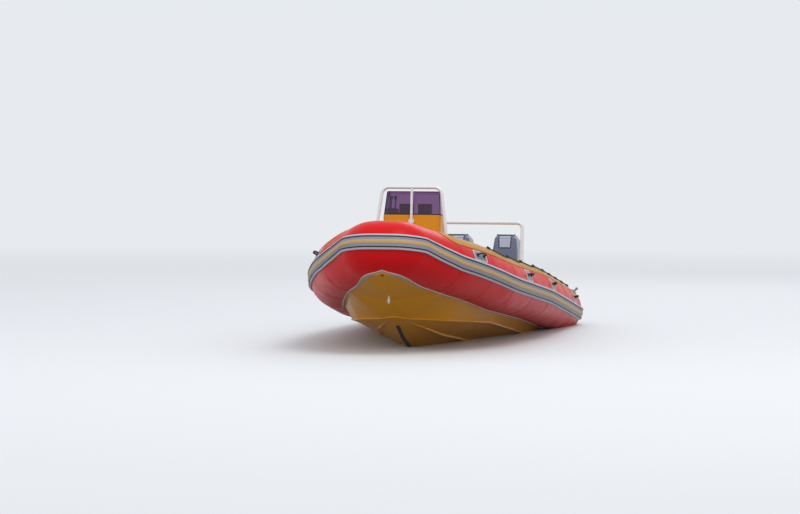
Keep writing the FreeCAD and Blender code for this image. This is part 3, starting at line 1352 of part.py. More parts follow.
make_tube()
make_strake()
make_wear_pads()
make_hull()
make_keel_guard()
make_eyes()
make_mooring_post()
doc.recompute()
make_console()
make_console_panels()
doc.recompute()
make_console_rail()
make_stern_frame()
make_steering_wheel()
make_throttle()
make_seat()
make_handles()
make_lifeline()
make_cleats()
make_valves()
doc.recompute()
make_motors()
make_tie_bar()
doc.recompute()
apply_trim()
check_and_export()
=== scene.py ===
"""Rigid inflatable boat: finishes, soft tubes, seams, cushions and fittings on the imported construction."""
import json
import math

import bmesh
import bpy
from mathutils import Matrix, Vector
from mathutils.bvhtree import BVHTree


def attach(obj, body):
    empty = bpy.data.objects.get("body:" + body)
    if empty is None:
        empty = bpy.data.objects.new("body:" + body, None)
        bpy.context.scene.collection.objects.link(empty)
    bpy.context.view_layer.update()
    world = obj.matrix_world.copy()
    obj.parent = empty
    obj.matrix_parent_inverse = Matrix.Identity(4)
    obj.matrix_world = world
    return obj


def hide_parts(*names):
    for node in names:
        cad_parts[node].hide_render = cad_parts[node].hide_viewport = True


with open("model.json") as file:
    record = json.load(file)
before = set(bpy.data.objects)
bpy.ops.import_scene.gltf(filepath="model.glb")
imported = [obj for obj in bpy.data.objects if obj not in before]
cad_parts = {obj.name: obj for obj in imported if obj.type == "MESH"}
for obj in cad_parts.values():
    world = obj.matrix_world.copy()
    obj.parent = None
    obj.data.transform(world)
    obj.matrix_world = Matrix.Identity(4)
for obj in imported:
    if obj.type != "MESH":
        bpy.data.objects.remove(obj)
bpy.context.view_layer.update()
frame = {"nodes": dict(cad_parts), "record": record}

NODES = frame["nodes"]

# The construction's own level frame: X ahead from the transom, Y to port, Z up from the keel, in metres.
# The boat runs bow up, with the water surface at Z 0 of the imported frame.
TRIM = math.radians(5.3)
TRIM_PIVOT = Vector((3.05, 0.0, 0.201))
LEVEL = Matrix.Rotation(-TRIM, 4, "Y") @ Matrix.Translation(-TRIM_PIVOT)
FORE, PORT, UP = Vector((1, 0, 0)), Vector((0, 1, 0)), Vector((0, 0, 1))
SIDES = (("port", 1), ("starboard", -1))
QUARTERS = ((1, 1), (-1, 1), (-1, -1), (1, -1))
SHARP = math.radians(32)                # edges that turn by more than this stay sharp
CORNER_SHARE = 0.48                     # most of a straight run that a rounded corner takes

# Places in that frame.
BOW = 6.5
DECK = 0.490                            # top of the sole
FOREDECK = 0.650
CONSOLE_TOP = 1.361
PAD_STATION = 0.560                     # wear pad's front end, aft of the bow
STRAKE_TAIL = 0.20                      # how far the strake runs on over the end cone
HANDLE_STATIONS = (BOW - 1.085, BOW - 2.535, BOW - 3.786, 0.594)
LOOP_STATIONS = tuple(BOW - 1.480 - i * 0.600 for i in range(9))
WORN_STERN = (-2.05, -2.75)             # where the wear pads turn pale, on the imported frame's X
STEERING_AXIS = Vector((-0.2542, 0.2825, 0.655))    # port motor's, at the height of the transom's top

# Camera, fitted to the photograph's corners of the rubbing strake.
CAMERA_SPOT = Vector((27.475, 4.359, 1.612))
CAMERA_HEADING = math.radians(9.82)     # off the boat's own heading
CAMERA_DOWN = math.radians(1.57)
CAMERA_ROLL = math.radians(0.4)
CAMERA_LENS = 118.3                     # mm, on a sensor 36 mm wide
CAMERA_SENSOR = 36.0


def make_camera():
    camera = link("camera", bpy.data.cameras.new("camera"))
    camera.data.lens = CAMERA_LENS
    camera.data.sensor_width = CAMERA_SENSOR
    camera.data.clip_end = 500.0
    level = math.cos(CAMERA_DOWN)
    back = (math.cos(CAMERA_HEADING) * level, math.sin(CAMERA_HEADING) * level, math.sin(CAMERA_DOWN))
    turn = (-Vector(back)).to_track_quat("-Z", "Y").to_matrix().to_4x4()
    camera.matrix_world = Matrix.Translation(CAMERA_SPOT) @ turn @ Matrix.Rotation(CAMERA_ROLL, 4, "Z")
    bpy.context.scene.camera = camera


# Materials


def add_node(tree, kind, feeds=(), **settings):
    """A new shader node. Feeds: for each input a number, a colour or another node's output."""
    made = tree.nodes.new(kind)
    for name, value in settings.items():
        setattr(made, name, value)
    for socket, value in dict(feeds).items():
        if isinstance(value, bpy.types.NodeSocket):
            tree.links.new(value, made.inputs[socket])
        else:
            made.inputs[socket].default_value = value
    return made


class Shader:
    """A principled material with short ways to add colour variation and bump."""

    def __init__(self, name, colour, roughness=0.5, metallic=0.0, **sockets):
        self.material = bpy.data.materials.new(name)
        self.material.use_nodes = True
        self.tree = self.material.node_tree
        self.main = next(n for n in self.tree.nodes if n.type == "BSDF_PRINCIPLED")
        sockets |= {"base_color": (*colour, 1.0), "roughness": roughness, "metallic": metallic}
        for socket, value in sockets.items():
            label = socket.replace("_", " ").title().replace("Ior", "IOR")
            self.main.inputs[label].default_value = value
        self.coords = self.node("TexCoord").outputs["Object"]
        self.normal = None

    def node(self, kind, feeds=(), **settings):
        return add_node(self.tree, "ShaderNode" + kind, feeds, **settings)

    def mapped(self, socket, value):
        """The object's own coordinates, scaled or turned."""
        return self.node("Mapping", {"Vector": self.coords, socket: value}).outputs["Vector"]

    def turned(self, degrees):
        return self.mapped("Rotation", (0, 0, math.radians(degrees)))

    def noise(self, scale, detail=4.0, rough=0.55, stretch=(1, 1, 1)):
        feeds = {"Scale": scale, "Detail": detail, "Roughness": rough}
        return self.node("TexNoise", feeds | {"Vector": self.mapped("Scale", stretch)}).outputs["Fac"]

    def grid(self, coords, scale, line):
        """Square grid of lines of a width given as a share of its cells."""
        feeds = {"Scale": scale, "Mortar Size": line, "Brick Width": 1.0, "Row Height": 1.0}
        return self.node("TexBrick", feeds | {"Vector": coords}, offset=0.0).outputs["Fac"]

    def ramp(self, value, low, high, start=0.0, end=1.0):
        """Value mapped from low..high to start..end and held there."""
        feeds = {"Value": value, "From Min": low, "From Max": high, "To Min": start, "To Max": end}
        return self.node("MapRange", feeds).outputs["Result"]

    def product(self, first, second):
        return self.node("Math", {0: first, 1: second}, operation="MULTIPLY").outputs["Value"]

    def tint(self, value, colour):
        """Mixes another colour over what the base has so far, by value."""
        base = self.main.inputs["Base Color"]
        below = base.links[0].from_socket if base.is_linked else base.default_value
        mix = self.node("Mix", {"A": below, "B": (*colour, 1.0), "Factor": value}, data_type="RGBA")
        self.tree.links.new(mix.outputs["Result"], base)

    def cloud(self, colour, share, low, high, *noise):
        """Tints by a share where noise of some scale, detail and roughness rises from low to high."""
        self.tint(self.ramp(self.noise(*noise), low, high, 0.0, share), colour)

    def vary_roughness(self, low, high, *noise):
        rough = self.ramp(self.noise(*noise), 0.3, 0.7, low, high)
        self.tree.links.new(rough, self.main.inputs["Roughness"])

    def grain(self, distance, strength, *noise):
        self.bump(self.noise(*noise), distance, strength)

    def bump(self, value, distance, strength):
        """Relief by value, over the relief so far."""
        feeds = {"Height": value, "Distance": distance, "Strength": strength}
        if self.normal:
            feeds["Normal"] = self.normal
        self.normal = self.node("Bump", feeds).outputs["Normal"]
        self.tree.links.new(self.normal, self.main.inputs["Normal"])


def shade(colour, share, lift=0.0):
    """A darker or paler form of a colour."""
    return tuple(min(1.0, c * share + lift) for c in colour)


def coated_fabric(name, colour, dark, pale, roughness=0.36):
    """Rubber-coated fabric: fine weave, soft scuffs and slight fading."""
    shader = Shader(name, colour, roughness, specular_ior_level=0.16)
    shader.cloud(dark, 0.22, 0.45, 0.75, 1.4)
    shader.cloud(pale, 0.16, 0.62, 0.78, 46.0, 6.0, 0.7)
    shader.vary_roughness(roughness - 0.07, roughness + 0.08, 9.0)
    shader.grain(0.0003, 0.30, 900.0, 2.0)
    shader.grain(0.004, 0.20, 2.6, 2.0)
    return shader.material


def pad_fabric(name, colour, dark, pale):
    """Coated fabric of the wear pads: a fine pressed grid, and a patch rubbed pale at the stern."""
    shader = Shader(name, colour, 0.46, specular_ior_level=0.15)
    shader.cloud(dark, 0.35, 0.45, 0.72, 2.2)
    place = shader.node("SeparateXYZ", {"Vector": shader.coords})
    stern = shader.ramp(place.outputs["X"], *WORN_STERN)
    scuffs = shader.ramp(shader.noise(5.0, 6.0, 0.7), 0.42, 0.62, 0.0, 0.75)
    shader.tint(shader.product(stern, scuffs), pale)
    shader.vary_roughness(0.38, 0.56, 9.0)
    shader.bump(shader.grid(shader.coords, 90.0, 0.10), -0.0006, 0.5)
    return shader.material


def gelcoat(name, colour, dark):
    """Satin gelcoat: faint orange peel, and a slight darkening in patches."""
    shader = Shader(name, colour, 0.34, specular_ior_level=0.14)
    shader.cloud(dark, 0.15, 0.5, 0.8, 2.0, 5.0, 0.6)
    shader.vary_roughness(0.30, 0.40, 14.0, 5.0)
    shader.grain(0.0004, 0.08, 70.0, 2.0)
    return shader.material


def rubber(name, colour, roughness=0.5, worn=0.25):
    shader = Shader(name, colour, roughness, specular_ior_level=0.3)
    shader.cloud(shade(colour, 1.4, 0.03), worn, 0.55, 0.85, 20.0, 5.0, 0.7)
    shader.vary_roughness(roughness - 0.08, roughness + 0.12, 30.0)
    shader.grain(0.0003, 0.4, 400.0, 3.0)
    return shader.material


def rope_material(name, colour):
    """Braided line: crossing strands along its length."""
    shader = Shader(name, colour, 0.75)
    for degrees in (38, -38):
        strands = shader.node("TexWave", {"Scale": 60.0, "Vector": shader.turned(degrees)})
        shader.bump(strands.outputs["Fac"], 0.0012, 0.5)
    shader.cloud(shade(colour, 2.0, 0.04), 0.35, 0.5, 0.8, 60.0, 4.0)
    return shader.material


def steel(name):
    """Bright tube with a fine drawn grain and a slight dulling by salt."""
    shader = Shader(name, (0.82, 0.83, 0.85), 0.38, 0.15)
    shader.cloud((0.62, 0.63, 0.64), 0.20, 0.58, 0.85, 25.0, 6.0, 0.7)
    shader.vary_roughness(0.24, 0.40, 40.0, 4.0)
    shader.grain(0.0001, 0.2, 300.0, 2.0, 0.5, (1, 1, 0.1))
    return shader.material


def painted(name, colour, roughness=0.35, coat=0.2, dirt=0.25):
    """Sprayed paint with a film of dirt and small chips."""
    shader = Shader(name, colour, roughness, coat_weight=coat, coat_roughness=0.15)
    shader.cloud(shade(colour, 0.65), dirt, 0.5, 0.85, 6.0, 6.0, 0.7)
    shader.cloud(shade(colour, 1.25, 0.05), 0.3, 0.70, 0.78, 60.0, 6.0, 0.75)
    shader.vary_roughness(roughness - 0.08, roughness + 0.12, 22.0)
    shader.grain(0.0003, 0.2, 220.0, 3.0)
    return shader.material


def plastic(name, colour, roughness=0.45):
    shader = Shader(name, colour, roughness)
    shader.cloud(shade(colour, 1.4, 0.04), 0.25, 0.55, 0.8, 30.0, 5.0, 0.7)
    shader.vary_roughness(roughness - 0.08, roughness + 0.1, 45.0)
    shader.grain(0.0003, 0.5, 700.0, 2.0)
    return shader.material


def tinted_acrylic(name):
    """Dark violet acrylic, seen through, with faint hazing."""
    shader = Shader(name, (0.22, 0.10, 0.25), 0.05, transmission_weight=0.85, ior=1.45)
    shader.vary_roughness(0.04, 0.12, 12.0, 5.0)
    shader.grain(0.0002, 0.1, 30.0, 3.0)
    return shader.material


def vinyl(name, colour):
    """Upholstery vinyl with a leather grain."""
    shader = Shader(name, colour, 0.42, sheen_weight=0.15)
    shader.cloud(shade(colour, 1.8, 0.03), 0.4, 0.5, 0.8, 9.0, 6.0, 0.7)
    cells = shader.node("TexVoronoi", {"Scale": 420.0, "Vector": shader.coords}, feature="SMOOTH_F1")
    shader.bump(cells.outputs["Distance"], 0.0006, 0.5)
    shader.vary_roughness(0.34, 0.55, 25.0)
    return shader.material


def nonskid(name, colour):
    """Sole moulded with a fine raised diamond."""
    shader = Shader(name, colour, 0.55)
    shader.bump(shader.grid(shader.turned(45), 60.0, 0.12), -0.0012, 0.6)
    shader.cloud(shade(colour, 0.6), 0.35, 0.45, 0.75, 2.5, 8.0, 0.7)
    return shader.material


RED, RED_DARK, RED_PALE = (0.70, 0.004, 0.006), (0.54, 0.003, 0.005), (0.80, 0.07, 0.08)
YELLOW, YELLOW_DARK = (0.70, 0.29, 0.012), (0.54, 0.20, 0.010)
BLACK = (0.018, 0.018, 0.022)


def make_materials():
    kinds = {
        "tube_fabric": (coated_fabric, RED, RED_DARK, RED_PALE),
        "tape_fabric": (coated_fabric, (0.67, 0.006, 0.010), RED_DARK, RED_PALE, 0.42),
        "strake_rubber": (rubber, (0.50, 0.52, 0.58)),
        "strake_field": (rubber, (0.34, 0.34, 0.38)),
        "stripe_rubber": (rubber, (0.58, 0.36, 0.14)),
        "pad_fabric": (pad_fabric, (0.48, 0.215, 0.014), (0.38, 0.16, 0.010), (0.60, 0.42, 0.28)),
        "gelcoat": (gelcoat, YELLOW, YELLOW_DARK),
        "deck_nonskid": (nonskid, (0.60, 0.33, 0.06)),
        "rim_rubber": (rubber, (0.40, 0.32, 0.22)),
        "black_rubber": (rubber, BLACK, 0.5, 0.15),
        "steel": (steel,),
        "screen_tint": (tinted_acrylic,),
        "black_plastic": (plastic, BLACK),
        "switch_plastic": (plastic, (0.06, 0.06, 0.065), 0.35),
        "display_glass": (plastic, (0.012, 0.014, 0.022), 0.12),
        "grey_plastic": (plastic, (0.30, 0.31, 0.33)),
        "dial": (plastic, (0.72, 0.73, 0.72), 0.4),
        "cushion": (vinyl, (0.03, 0.03, 0.033)),
        "piping": (rubber, (0.20, 0.20, 0.21), 0.45),
        "patch_fabric": (coated_fabric, (0.25, 0.27, 0.31), (0.18, 0.19, 0.22), (0.5, 0.5, 0.52)),
        "patch_edge": (coated_fabric, (0.66, 0.62, 0.58), (0.5, 0.46, 0.42), (0.8, 0.78, 0.76)),
        "rope": (rope_material, BLACK),
        "motor_paint": (painted, (0.13, 0.155, 0.22)),
        "cowl_paint": (painted, (0.12, 0.145, 0.22), 0.28, 0.2, 0.15),
        "panel_paint": (painted, (0.42, 0.46, 0.60), 0.30, 0.2, 0.15),
        "engine_metal": (painted, (0.16, 0.17, 0.19), 0.5),
        "prop_metal": (painted, (0.03, 0.03, 0.033), 0.3, 0.5),
    }
    return {name: make(name, *values) for name, (make, *values) in kinds.items()}


def dress_nodes():
    """Gives every carried-over part its finish."""
    for part in frame["record"]["subparts"]:
        node = NODES[part["node"]]
        node.data.materials.clear()
        node.data.materials.append(MATERIALS[part["material_slot"]])
    NODES["hull_rim"].data.materials[0] = MATERIALS["gelcoat"]
    NODES["stern_cleats"].data.materials[0] = MATERIALS["grey_plastic"]


# Small mesh tools. Points are given in the construction's level frame.


def link(name, data):
    made = bpy.data.objects.new(name, data)
    bpy.context.scene.collection.objects.link(made)
    return made


def skin(rings, ends=True):
    """Faces between like closed rings, as vertices, faces and each face's place round its ring."""
    count = len(rings[0])
    verts = [spot for ring in rings for spot in ring]
    faces, columns = [], []
    for row in range(len(rings) - 1):
        for column in range(count):
            following = (column + 1) % count
            faces.append((row * count + column, row * count + following,
                          (row + 1) * count + following, (row + 1) * count + column))
            columns.append(column)
    if ends:
        faces.append(tuple(reversed(range(count))))
        faces.append(tuple(len(verts) - count + i for i in range(count)))
        columns += [0, 0]
    return verts, faces, columns


def square_to(axis):
    """Two directions square to an axis."""
    side = axis.cross(UP if abs(axis.z) < 0.9 else FORE).normalized()
    return side, axis.cross(side).normalized()


def rounded(points, radius, steps, closed=False):
    """A run of straight lines with its corners rounded."""
    path = []
    count = len(points)
    for i, corner in enumerate(points):
        if not closed and i in (0, count - 1):
            path.append(corner)
            continue
        before, after = points[i - 1] - corner, points[(i + 1) % count] - corner
        reach = min(radius, before.length * CORNER_SHARE, after.length * CORNER_SHARE)
        start, end = corner + before.normalized() * reach, corner + after.normalized() * reach
        for step in range(steps + 1):
            t = step / steps
            path.append(start * (1 - t) ** 2 + corner * 2 * t * (1 - t) + end * t ** 2)
    return path


def slab(outline, normal, depth, edge=0.0015):
    """Rings of a flat plate with softened edges, from its outline's foot."""
    middle = sum(outline, Vector()) / len(outline)
    inset = [spot + (middle - spot).normalized() * edge for spot in outline]
    rise = normal.normalized()
    return [
        list(outline),
        [spot + rise * (depth - edge) for spot in outline],
        [spot + rise * depth for spot in inset],
    ]


class Shape:
    """Closed solids gathered into one mesh."""

    def __init__(self):
        self.verts, self.faces, self.columns = [], [], []

    def add(self, verts, faces, columns=()):
        shift = len(self.verts)
        self.verts += verts
        self.faces += [tuple(i + shift for i in face) for face in faces]
        self.columns += columns
        return self

    def rings(self, rings, ends=True):
        return self.add(*skin(rings, ends))

    def turned(self, profile, spot, axis, sides=24):
        """A turned form. Columns of the profile: along the axis, radius."""
        axis = axis.normalized()
        side, other = square_to(axis)
        turns = [math.tau * i / sides for i in range(sides)]
        self.rings([[spot + axis * along + (side * math.cos(t) + other * math.sin(t)) * radius for t in turns]
                    for along, radius in profile])

    def bar(self, path, radius, sides=8, closed=False):
        """A round bar along a path."""
        rings = []
        count = len(path)
        side = None
        turns = [math.tau * k / sides for k in range(sides)]
        for i, spot in enumerate(path):
            after = path[(i + 1) % count] if closed or i < count - 1 else spot
            before = path[i - 1] if closed or i else spot
            along = (after - before).normalized()
            if side is None:
                side = square_to(along)[0]
            side = (side - along * side.dot(along)).normalized()
            other = along.cross(side)
            rings.append([spot + (side * math.cos(t) + other * math.sin(t)) * radius for t in turns])
        self.rings(rings + rings[:1] if closed else rings, ends=not closed)

    def plate(self, spot, across, along, sizes, normal, depth, edge=0.0015, steps=3):
        """A flat plate with round corners. Sizes: half across, half along, corners' radius."""
        half_across, half_along, corner = sizes
        spots = [spot + across * half_across * u + along * half_along * v for u, v in QUARTERS]
        self.rings(slab(rounded(spots, corner, steps, closed=True), normal, depth, edge))

    def piece(self, name, finish, body="boat", stands_for=(), slot=None, second=()):
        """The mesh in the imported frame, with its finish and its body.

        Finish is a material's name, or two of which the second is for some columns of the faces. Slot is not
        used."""
        mesh = bpy.data.meshes.new(name)
        mesh.from_pydata([tuple(spot) for spot in self.verts], [], self.faces)
        finishes = [finish] if isinstance(finish, str) else finish
        for one in finishes:
            mesh.materials.append(MATERIALS[one])
        if second:
            mesh.polygons.foreach_set("material_index", [int(column in second) for column in self.columns])
        mesh.transform(LEVEL)
        form = bmesh.new()
        form.from_mesh(mesh)
        bmesh.ops.recalc_face_normals(form, faces=form.faces)
        form.to_mesh(mesh)
        form.free()
        mesh.shade_smooth()
        mesh.set_sharp_from_angle(angle=SHARP)
        made = link(name, mesh)
        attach(made, body)
        if stands_for:
            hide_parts(*stands_for)


def between(low, high, share):
    return low + (high - low) * share


def looked_up(table, value):
    """A row of a table at a value of its first column, interpolated between its rows."""
    for low, high in zip(table, table[1:]):
        if low[0] <= value <= high[0]:
            share = (value - low[0]) / (high[0] - low[0])
            return [between(a, b, share) for a, b in zip(low, high)]
    return table[-1]


# The air tube. Its centre line on the port side, with rounded corners, is measured from the bow's middle.
# Negative distances run down the starboard side.

# Columns: ahead of the transom, out, height, strake's middle above the tube's widest line in degrees.
TUBE = (
    (6.200, 0.000, 0.9070, 13.0),
    (6.200, 0.095, 0.9070, 13.0),
    (6.166, 0.152, 0.9010, 12.1),
    (5.738, 0.447, 0.8160, -1.0),
    (5.166, 0.641, 0.7750, -4.9),
    (4.604, 0.776, 0.7150, -6.1),
    (2.986, 0.930, 0.6950, -7.9),
    (1.600, 0.940, 0.6788, -8.9),
    (0.000, 0.940, 0.6600, -10.0),
)
RADIUS = 0.280
STRAKE_FACE = RADIUS + 0.020            # the strake's face, from the tube's centre line
CORNER_REACH = 0.26
PAD_EDGE = 38.0                         # wear pad's outer edge, in degrees above the tube's widest line
LOOP_ANGLE = 64.0                       # loops of the lifeline, likewise
# Columns: aft of the transom, radius
CONE = ((0.0, 0.280), (0.215, 0.2025), (0.43, 0.125), (0.447, 0.114), (0.460, 0.094), (0.469, 0.064),
        (0.474, 0.034), (0.475, 0.010))


def tube_line():
    """Samples along the port half: distance, spot, direction, number of the corner."""
    corners = [Vector(row[:3]) for row in TUBE]
    line = [(0.0, corners[0], PORT, 0.0)]

    def sample(spot, along, mark):
        line.append((line[-1][0] + (spot - line[-1][1]).length, spot, along, mark))

    steps = 12
    for i in range(1, len(corners) - 1):
        corner, before, after = corners[i], corners[i - 1], corners[i + 1]
        come, go = corner - before, after - corner
        reach = min(CORNER_REACH, come.length * CORNER_SHARE, go.length * CORNER_SHARE)
        start, end = corner - come.normalized() * reach, corner + go.normalized() * reach
        for step in range(steps + 1):
            t = step / steps
            spot = start * (1 - t) ** 2 + corner * 2 * t * (1 - t) + end * t ** 2
            along = ((corner - start) * (1 - t) + (end - corner) * t).normalized()
            sample(spot, along, i + (2 * t - 1) * reach / (come.length if t < 0.5 else go.length))
    sample(corners[-1], (corners[-1] - corners[-2]).normalized(), len(corners) - 1.0)
    return line


LINE = tube_line()
DISTANCE, SPOT, ALONG, MARK = range(4)
LENGTH = LINE[-1][DISTANCE]


def reading(value, column, wanted):
    """Interpolates one column of the line where another one has a value."""
    for a, b in zip(LINE, LINE[1:]):
        low, high = (a[column], b[column]) if column != SPOT else (a[SPOT].x, b[SPOT].x)
        if min(low, high) <= value <= max(low, high) and low != high:
            return between(a[wanted], b[wanted], (value - low) / (high - low))
    return LINE[-1][wanted]


def at_corner(mark):
    return reading(mark, MARK, DISTANCE)


def at_station(station):
    return reading(station, SPOT, DISTANCE)


def strake_angle(mark):
    return looked_up([(number, row[3]) for number, row in enumerate(TUBE)], mark)[1]


def tube_radius(distance):
    """The tube's own radius, which falls on the end cone."""
    return looked_up(CONE, max(0.0, abs(distance) - LENGTH))[1]


def tube_frame(distance):
    """Centre, outward and upward vectors, and number of the corner, at a signed distance."""
    away = abs(distance)
    if away >= LENGTH:
        gone, spot, along, mark = LINE[-1]
        spot = spot + along * (away - LENGTH)
    else:
        spot, along, mark = (reading(away, DISTANCE, column) for column in (SPOT, ALONG, MARK))
        along = along.normalized()
    out = along.cross(UP).normalized()
    up = out.cross(along).normalized()
    if distance < 0:
        spot, out, up = (Vector((v.x, -v.y, v.z)) for v in (spot, out, up))
    return spot, out, up, mark


def on_tube(distance, degrees, lift):
    """A point over the tube's surface."""
    spot, out, up, mark = tube_frame(distance)
    turn = math.radians(degrees)
    return spot + (out * math.cos(turn) + up * math.sin(turn)) * (tube_radius(distance) + lift)


def tube_ring(distance, outline):
    """A section of something on the tube. Columns of the outline: above its surface, degrees."""
    return [on_tube(distance, degrees, lift) for lift, degrees in outline]


def hoop(distance, lift=0.0):
    """A whole ring round the tube."""
    return tube_ring(distance, [(lift, 360 * i / 96) for i in range(96)])


def distances(start, end):
    """Signed distances of the line's samples from start to end, both ends kept."""
    known = [row[DISTANCE] for row in LINE] + [LENGTH + row[0] for row in CONE]
    known = sorted({sign * away for away in known for sign in (1, -1)})
    return [start] + [d for d in known if start + 1e-4 < d < end - 1e-4] + [end]


def make_tube():
    """Air chambers, with rounded corners where the construction has mitres."""
    bow, baffle, end = at_corner(4), at_corner(6), LENGTH + CONE[-1][0]
    parts = [("bow", -bow, bow)]
    for side, sign in SIDES:
        parts.append((f"middle_{side}", *sorted((sign * bow, sign * baffle))))
        parts.append((f"aft_{side}", *sorted((sign * baffle, sign * end))))
    for part, start, stop in parts:
        Shape().rings([hoop(d) for d in distances(start, stop)]).piece(
            f"chamber_{part}", "tube_fabric", stands_for=[f"tube_{part}"])


def make_seam_tapes():
    """Tapes glued round the tube at its bends and between them."""
    rows = ((-0.026, 0.0), (-0.0245, 0.0014), (0.0, 0.0016), (0.0245, 0.0014), (0.026, 0.0),
            (0.026, -0.002), (-0.026, -0.002))
    for side, sign in SIDES:
        tapes = Shape()
        for mark in (3.0, 4.0, 5.0, 5.5, 6.0, 6.5, 7.0, 7.5, 8.0):
            middle = sign * at_corner(mark)
            rings = [hoop(middle + step, lift) for step, lift in rows]
            tapes.rings(rings + rings[:1], ends=False)
        tapes.piece(f"seam_tapes_{side}", "tape_fabric", slot="tube_fabric")


def strake_rings(section, end):
    """Rings of a section from end to end of the strake, lower over its last 50 mm.

    Columns of the section: metres round the tube from the strake's middle, above the tube's surface."""
    fall = 0.05
    rings = []
    for d in distances(-end, end):
        middle = strake_angle(tube_frame(d)[-1])
        past = max(0.0, abs(d) - (end - fall))
        low = max(0.25, 1 - (past / fall) ** 2 * 0.75)
        rings.append(tube_ring(d, [
            (lift * low if lift > 0 else lift, middle + math.degrees(around / STRAKE_FACE))
            for around, lift in section]))
    return rings


def make_strake():
    """Rubbing strake round the whole tube: pale lips, dark ribs, grooved fields and a coloured stripe."""
    end = LENGTH + STRAKE_TAIL
    half = [(0.0183, 0.0125), (0.0183, 0.0195), (0.0190, 0.0200)]
    for start in (0.0250, 0.0310, 0.0370):
        half += [(start + across, lift) for across, lift in
                 ((0, 0.0200), (0.0006, 0.0186), (0.0022, 0.0186), (0.0028, 0.0200))]
    fields = set(range(2, len(half) + 1))
    half += [
        (0.0455, 0.0200), (0.0462, 0.0195), (0.0462, 0.0125),
        (0.0580, 0.0125), (0.0580, 0.0195), (0.0588, 0.0200),
        (0.0725, 0.0200), (0.0765, 0.0185), (0.0785, 0.0150), (0.0790, 0.0100), (0.0790, -0.0080),
    ]
    section = half + [(-around, lift) for around, lift in reversed(half)]
    fields |= {len(section) - 2 - column for column in fields}
    Shape().rings(strake_rings(section, end)).piece(
        "strake_body", ["strake_rubber", "strake_field"], stands_for=["rubbing_strake"], second=fields)

    half = [(0.0180, 0.011), (0.0180, 0.0205), (0.0165, 0.0228), (0.0120, 0.0238), (0.0060, 0.0243)]
    crown = [(-around, lift) for around, lift in half] + [(0.0, 0.0245)] + half[::-1]
    Shape().rings(strake_rings(crown, end - 0.006)).piece(
        "stripe", "stripe_rubber", stands_for=["strake_stripe"])

    rib = ((0.0465, 0.011), (0.0465, 0.0235), (0.0480, 0.0258), (0.0505, 0.0268),
           (0.0535, 0.0268), (0.0560, 0.0258), (0.0575, 0.0235), (0.0575, 0.011))
    ribs = Shape()
    for way in (1, -1):
        ribs.rings(strake_rings([(way * around, lift) for around, lift in rib], end - 0.004))
    ribs.piece("ribs", "black_rubber", stands_for=["strake_ribs"])


def make_pads():
    """Wear pads along the tube's top, rounded off at the front."""
    front, aft = at_station(BOW - PAD_STATION), LENGTH
    nose, high, lowest = 0.24, 128.0, PAD_EDGE
    span = set(distances(front, aft))
    span |= {front + nose * (1 - math.cos(math.radians(a))) for a in range(10, 91, 10)}
    span = sorted(span)
    for side, sign in SIDES:
        rings = []
        for d in span:
            reach = min(1.0, (d - front) / nose)
            wide = 0.30 + 0.70 * math.sqrt(max(0.0, 1 - (1 - reach) ** 2))
            low = between(high, lowest, wide)
            step = (high - low) / 40
            end = 0.5 if d in (span[0], span[-1]) else 1.0
            top = [(0.0003, low), (0.0040 * end, low + 0.25)]
            top += [(0.0053 * end, low + 0.8 + (high - low - 1.6) * i / 40) for i in range(41)]
            top += [(0.0040 * end, high - 0.25), (0.0003, high)]
            foot = [(-0.004, high - step * i) for i in range(0, 41, 8)]
            rings.append(tube_ring(sign * d, top + foot))
        Shape().rings(rings).piece(f"tread_{side}", "pad_fabric", stands_for=[f"wear_pad_{side}"])


def bonded_patch(distance, middle, half_along, half_around, corner, lift, depth, sign, steps=12):
    """A patch with round corners that lies on the tube, as vertices and faces.

    Half along and half around are in metres, and middle is its angle round the tube."""
    rows = []
    for i in range(steps + 1):
        around = half_around * (2 * i / steps - 1)
        over = abs(around) - (half_around - corner)
        cut = corner - math.sqrt(max(0.0, corner ** 2 - over ** 2)) if over > 0 else 0.0
        rows.append((around, half_along - cut))
    verts, faces = [], []
    wide = 7
    for level in (lift - 0.0005, lift + depth):
        inset = 0.0 if level < lift else 0.0012
        for around, reach in rows:
            around *= 1 - inset / half_around
            for k in range(wide):
                d = distance + (reach - inset) * (2 * k / (wide - 1) - 1)
                turn = middle + math.degrees(around / (RADIUS + lift))
                verts.append(on_tube(sign * d, turn, level))
    count = (steps + 1) * wide
    for i in range(steps):
        for k in range(wide - 1):
            a = i * wide + k
            low = (a, a + 1, a + wide + 1, a + wide)
            faces.append(tuple(reversed(low)))
            faces.append(tuple(count + v for v in low))
    border = list(range(wide)) + [i * wide + wide - 1 for i in range(1, steps + 1)]
    border += [steps * wide + k for k in range(wide - 2, -1, -1)]
    border += [i * wide for i in range(steps - 1, 0, -1)]
    for a, b in zip(border, border[1:] + border[:1]):
        faces.append((a, b, count + b, count + a))
    return verts, faces


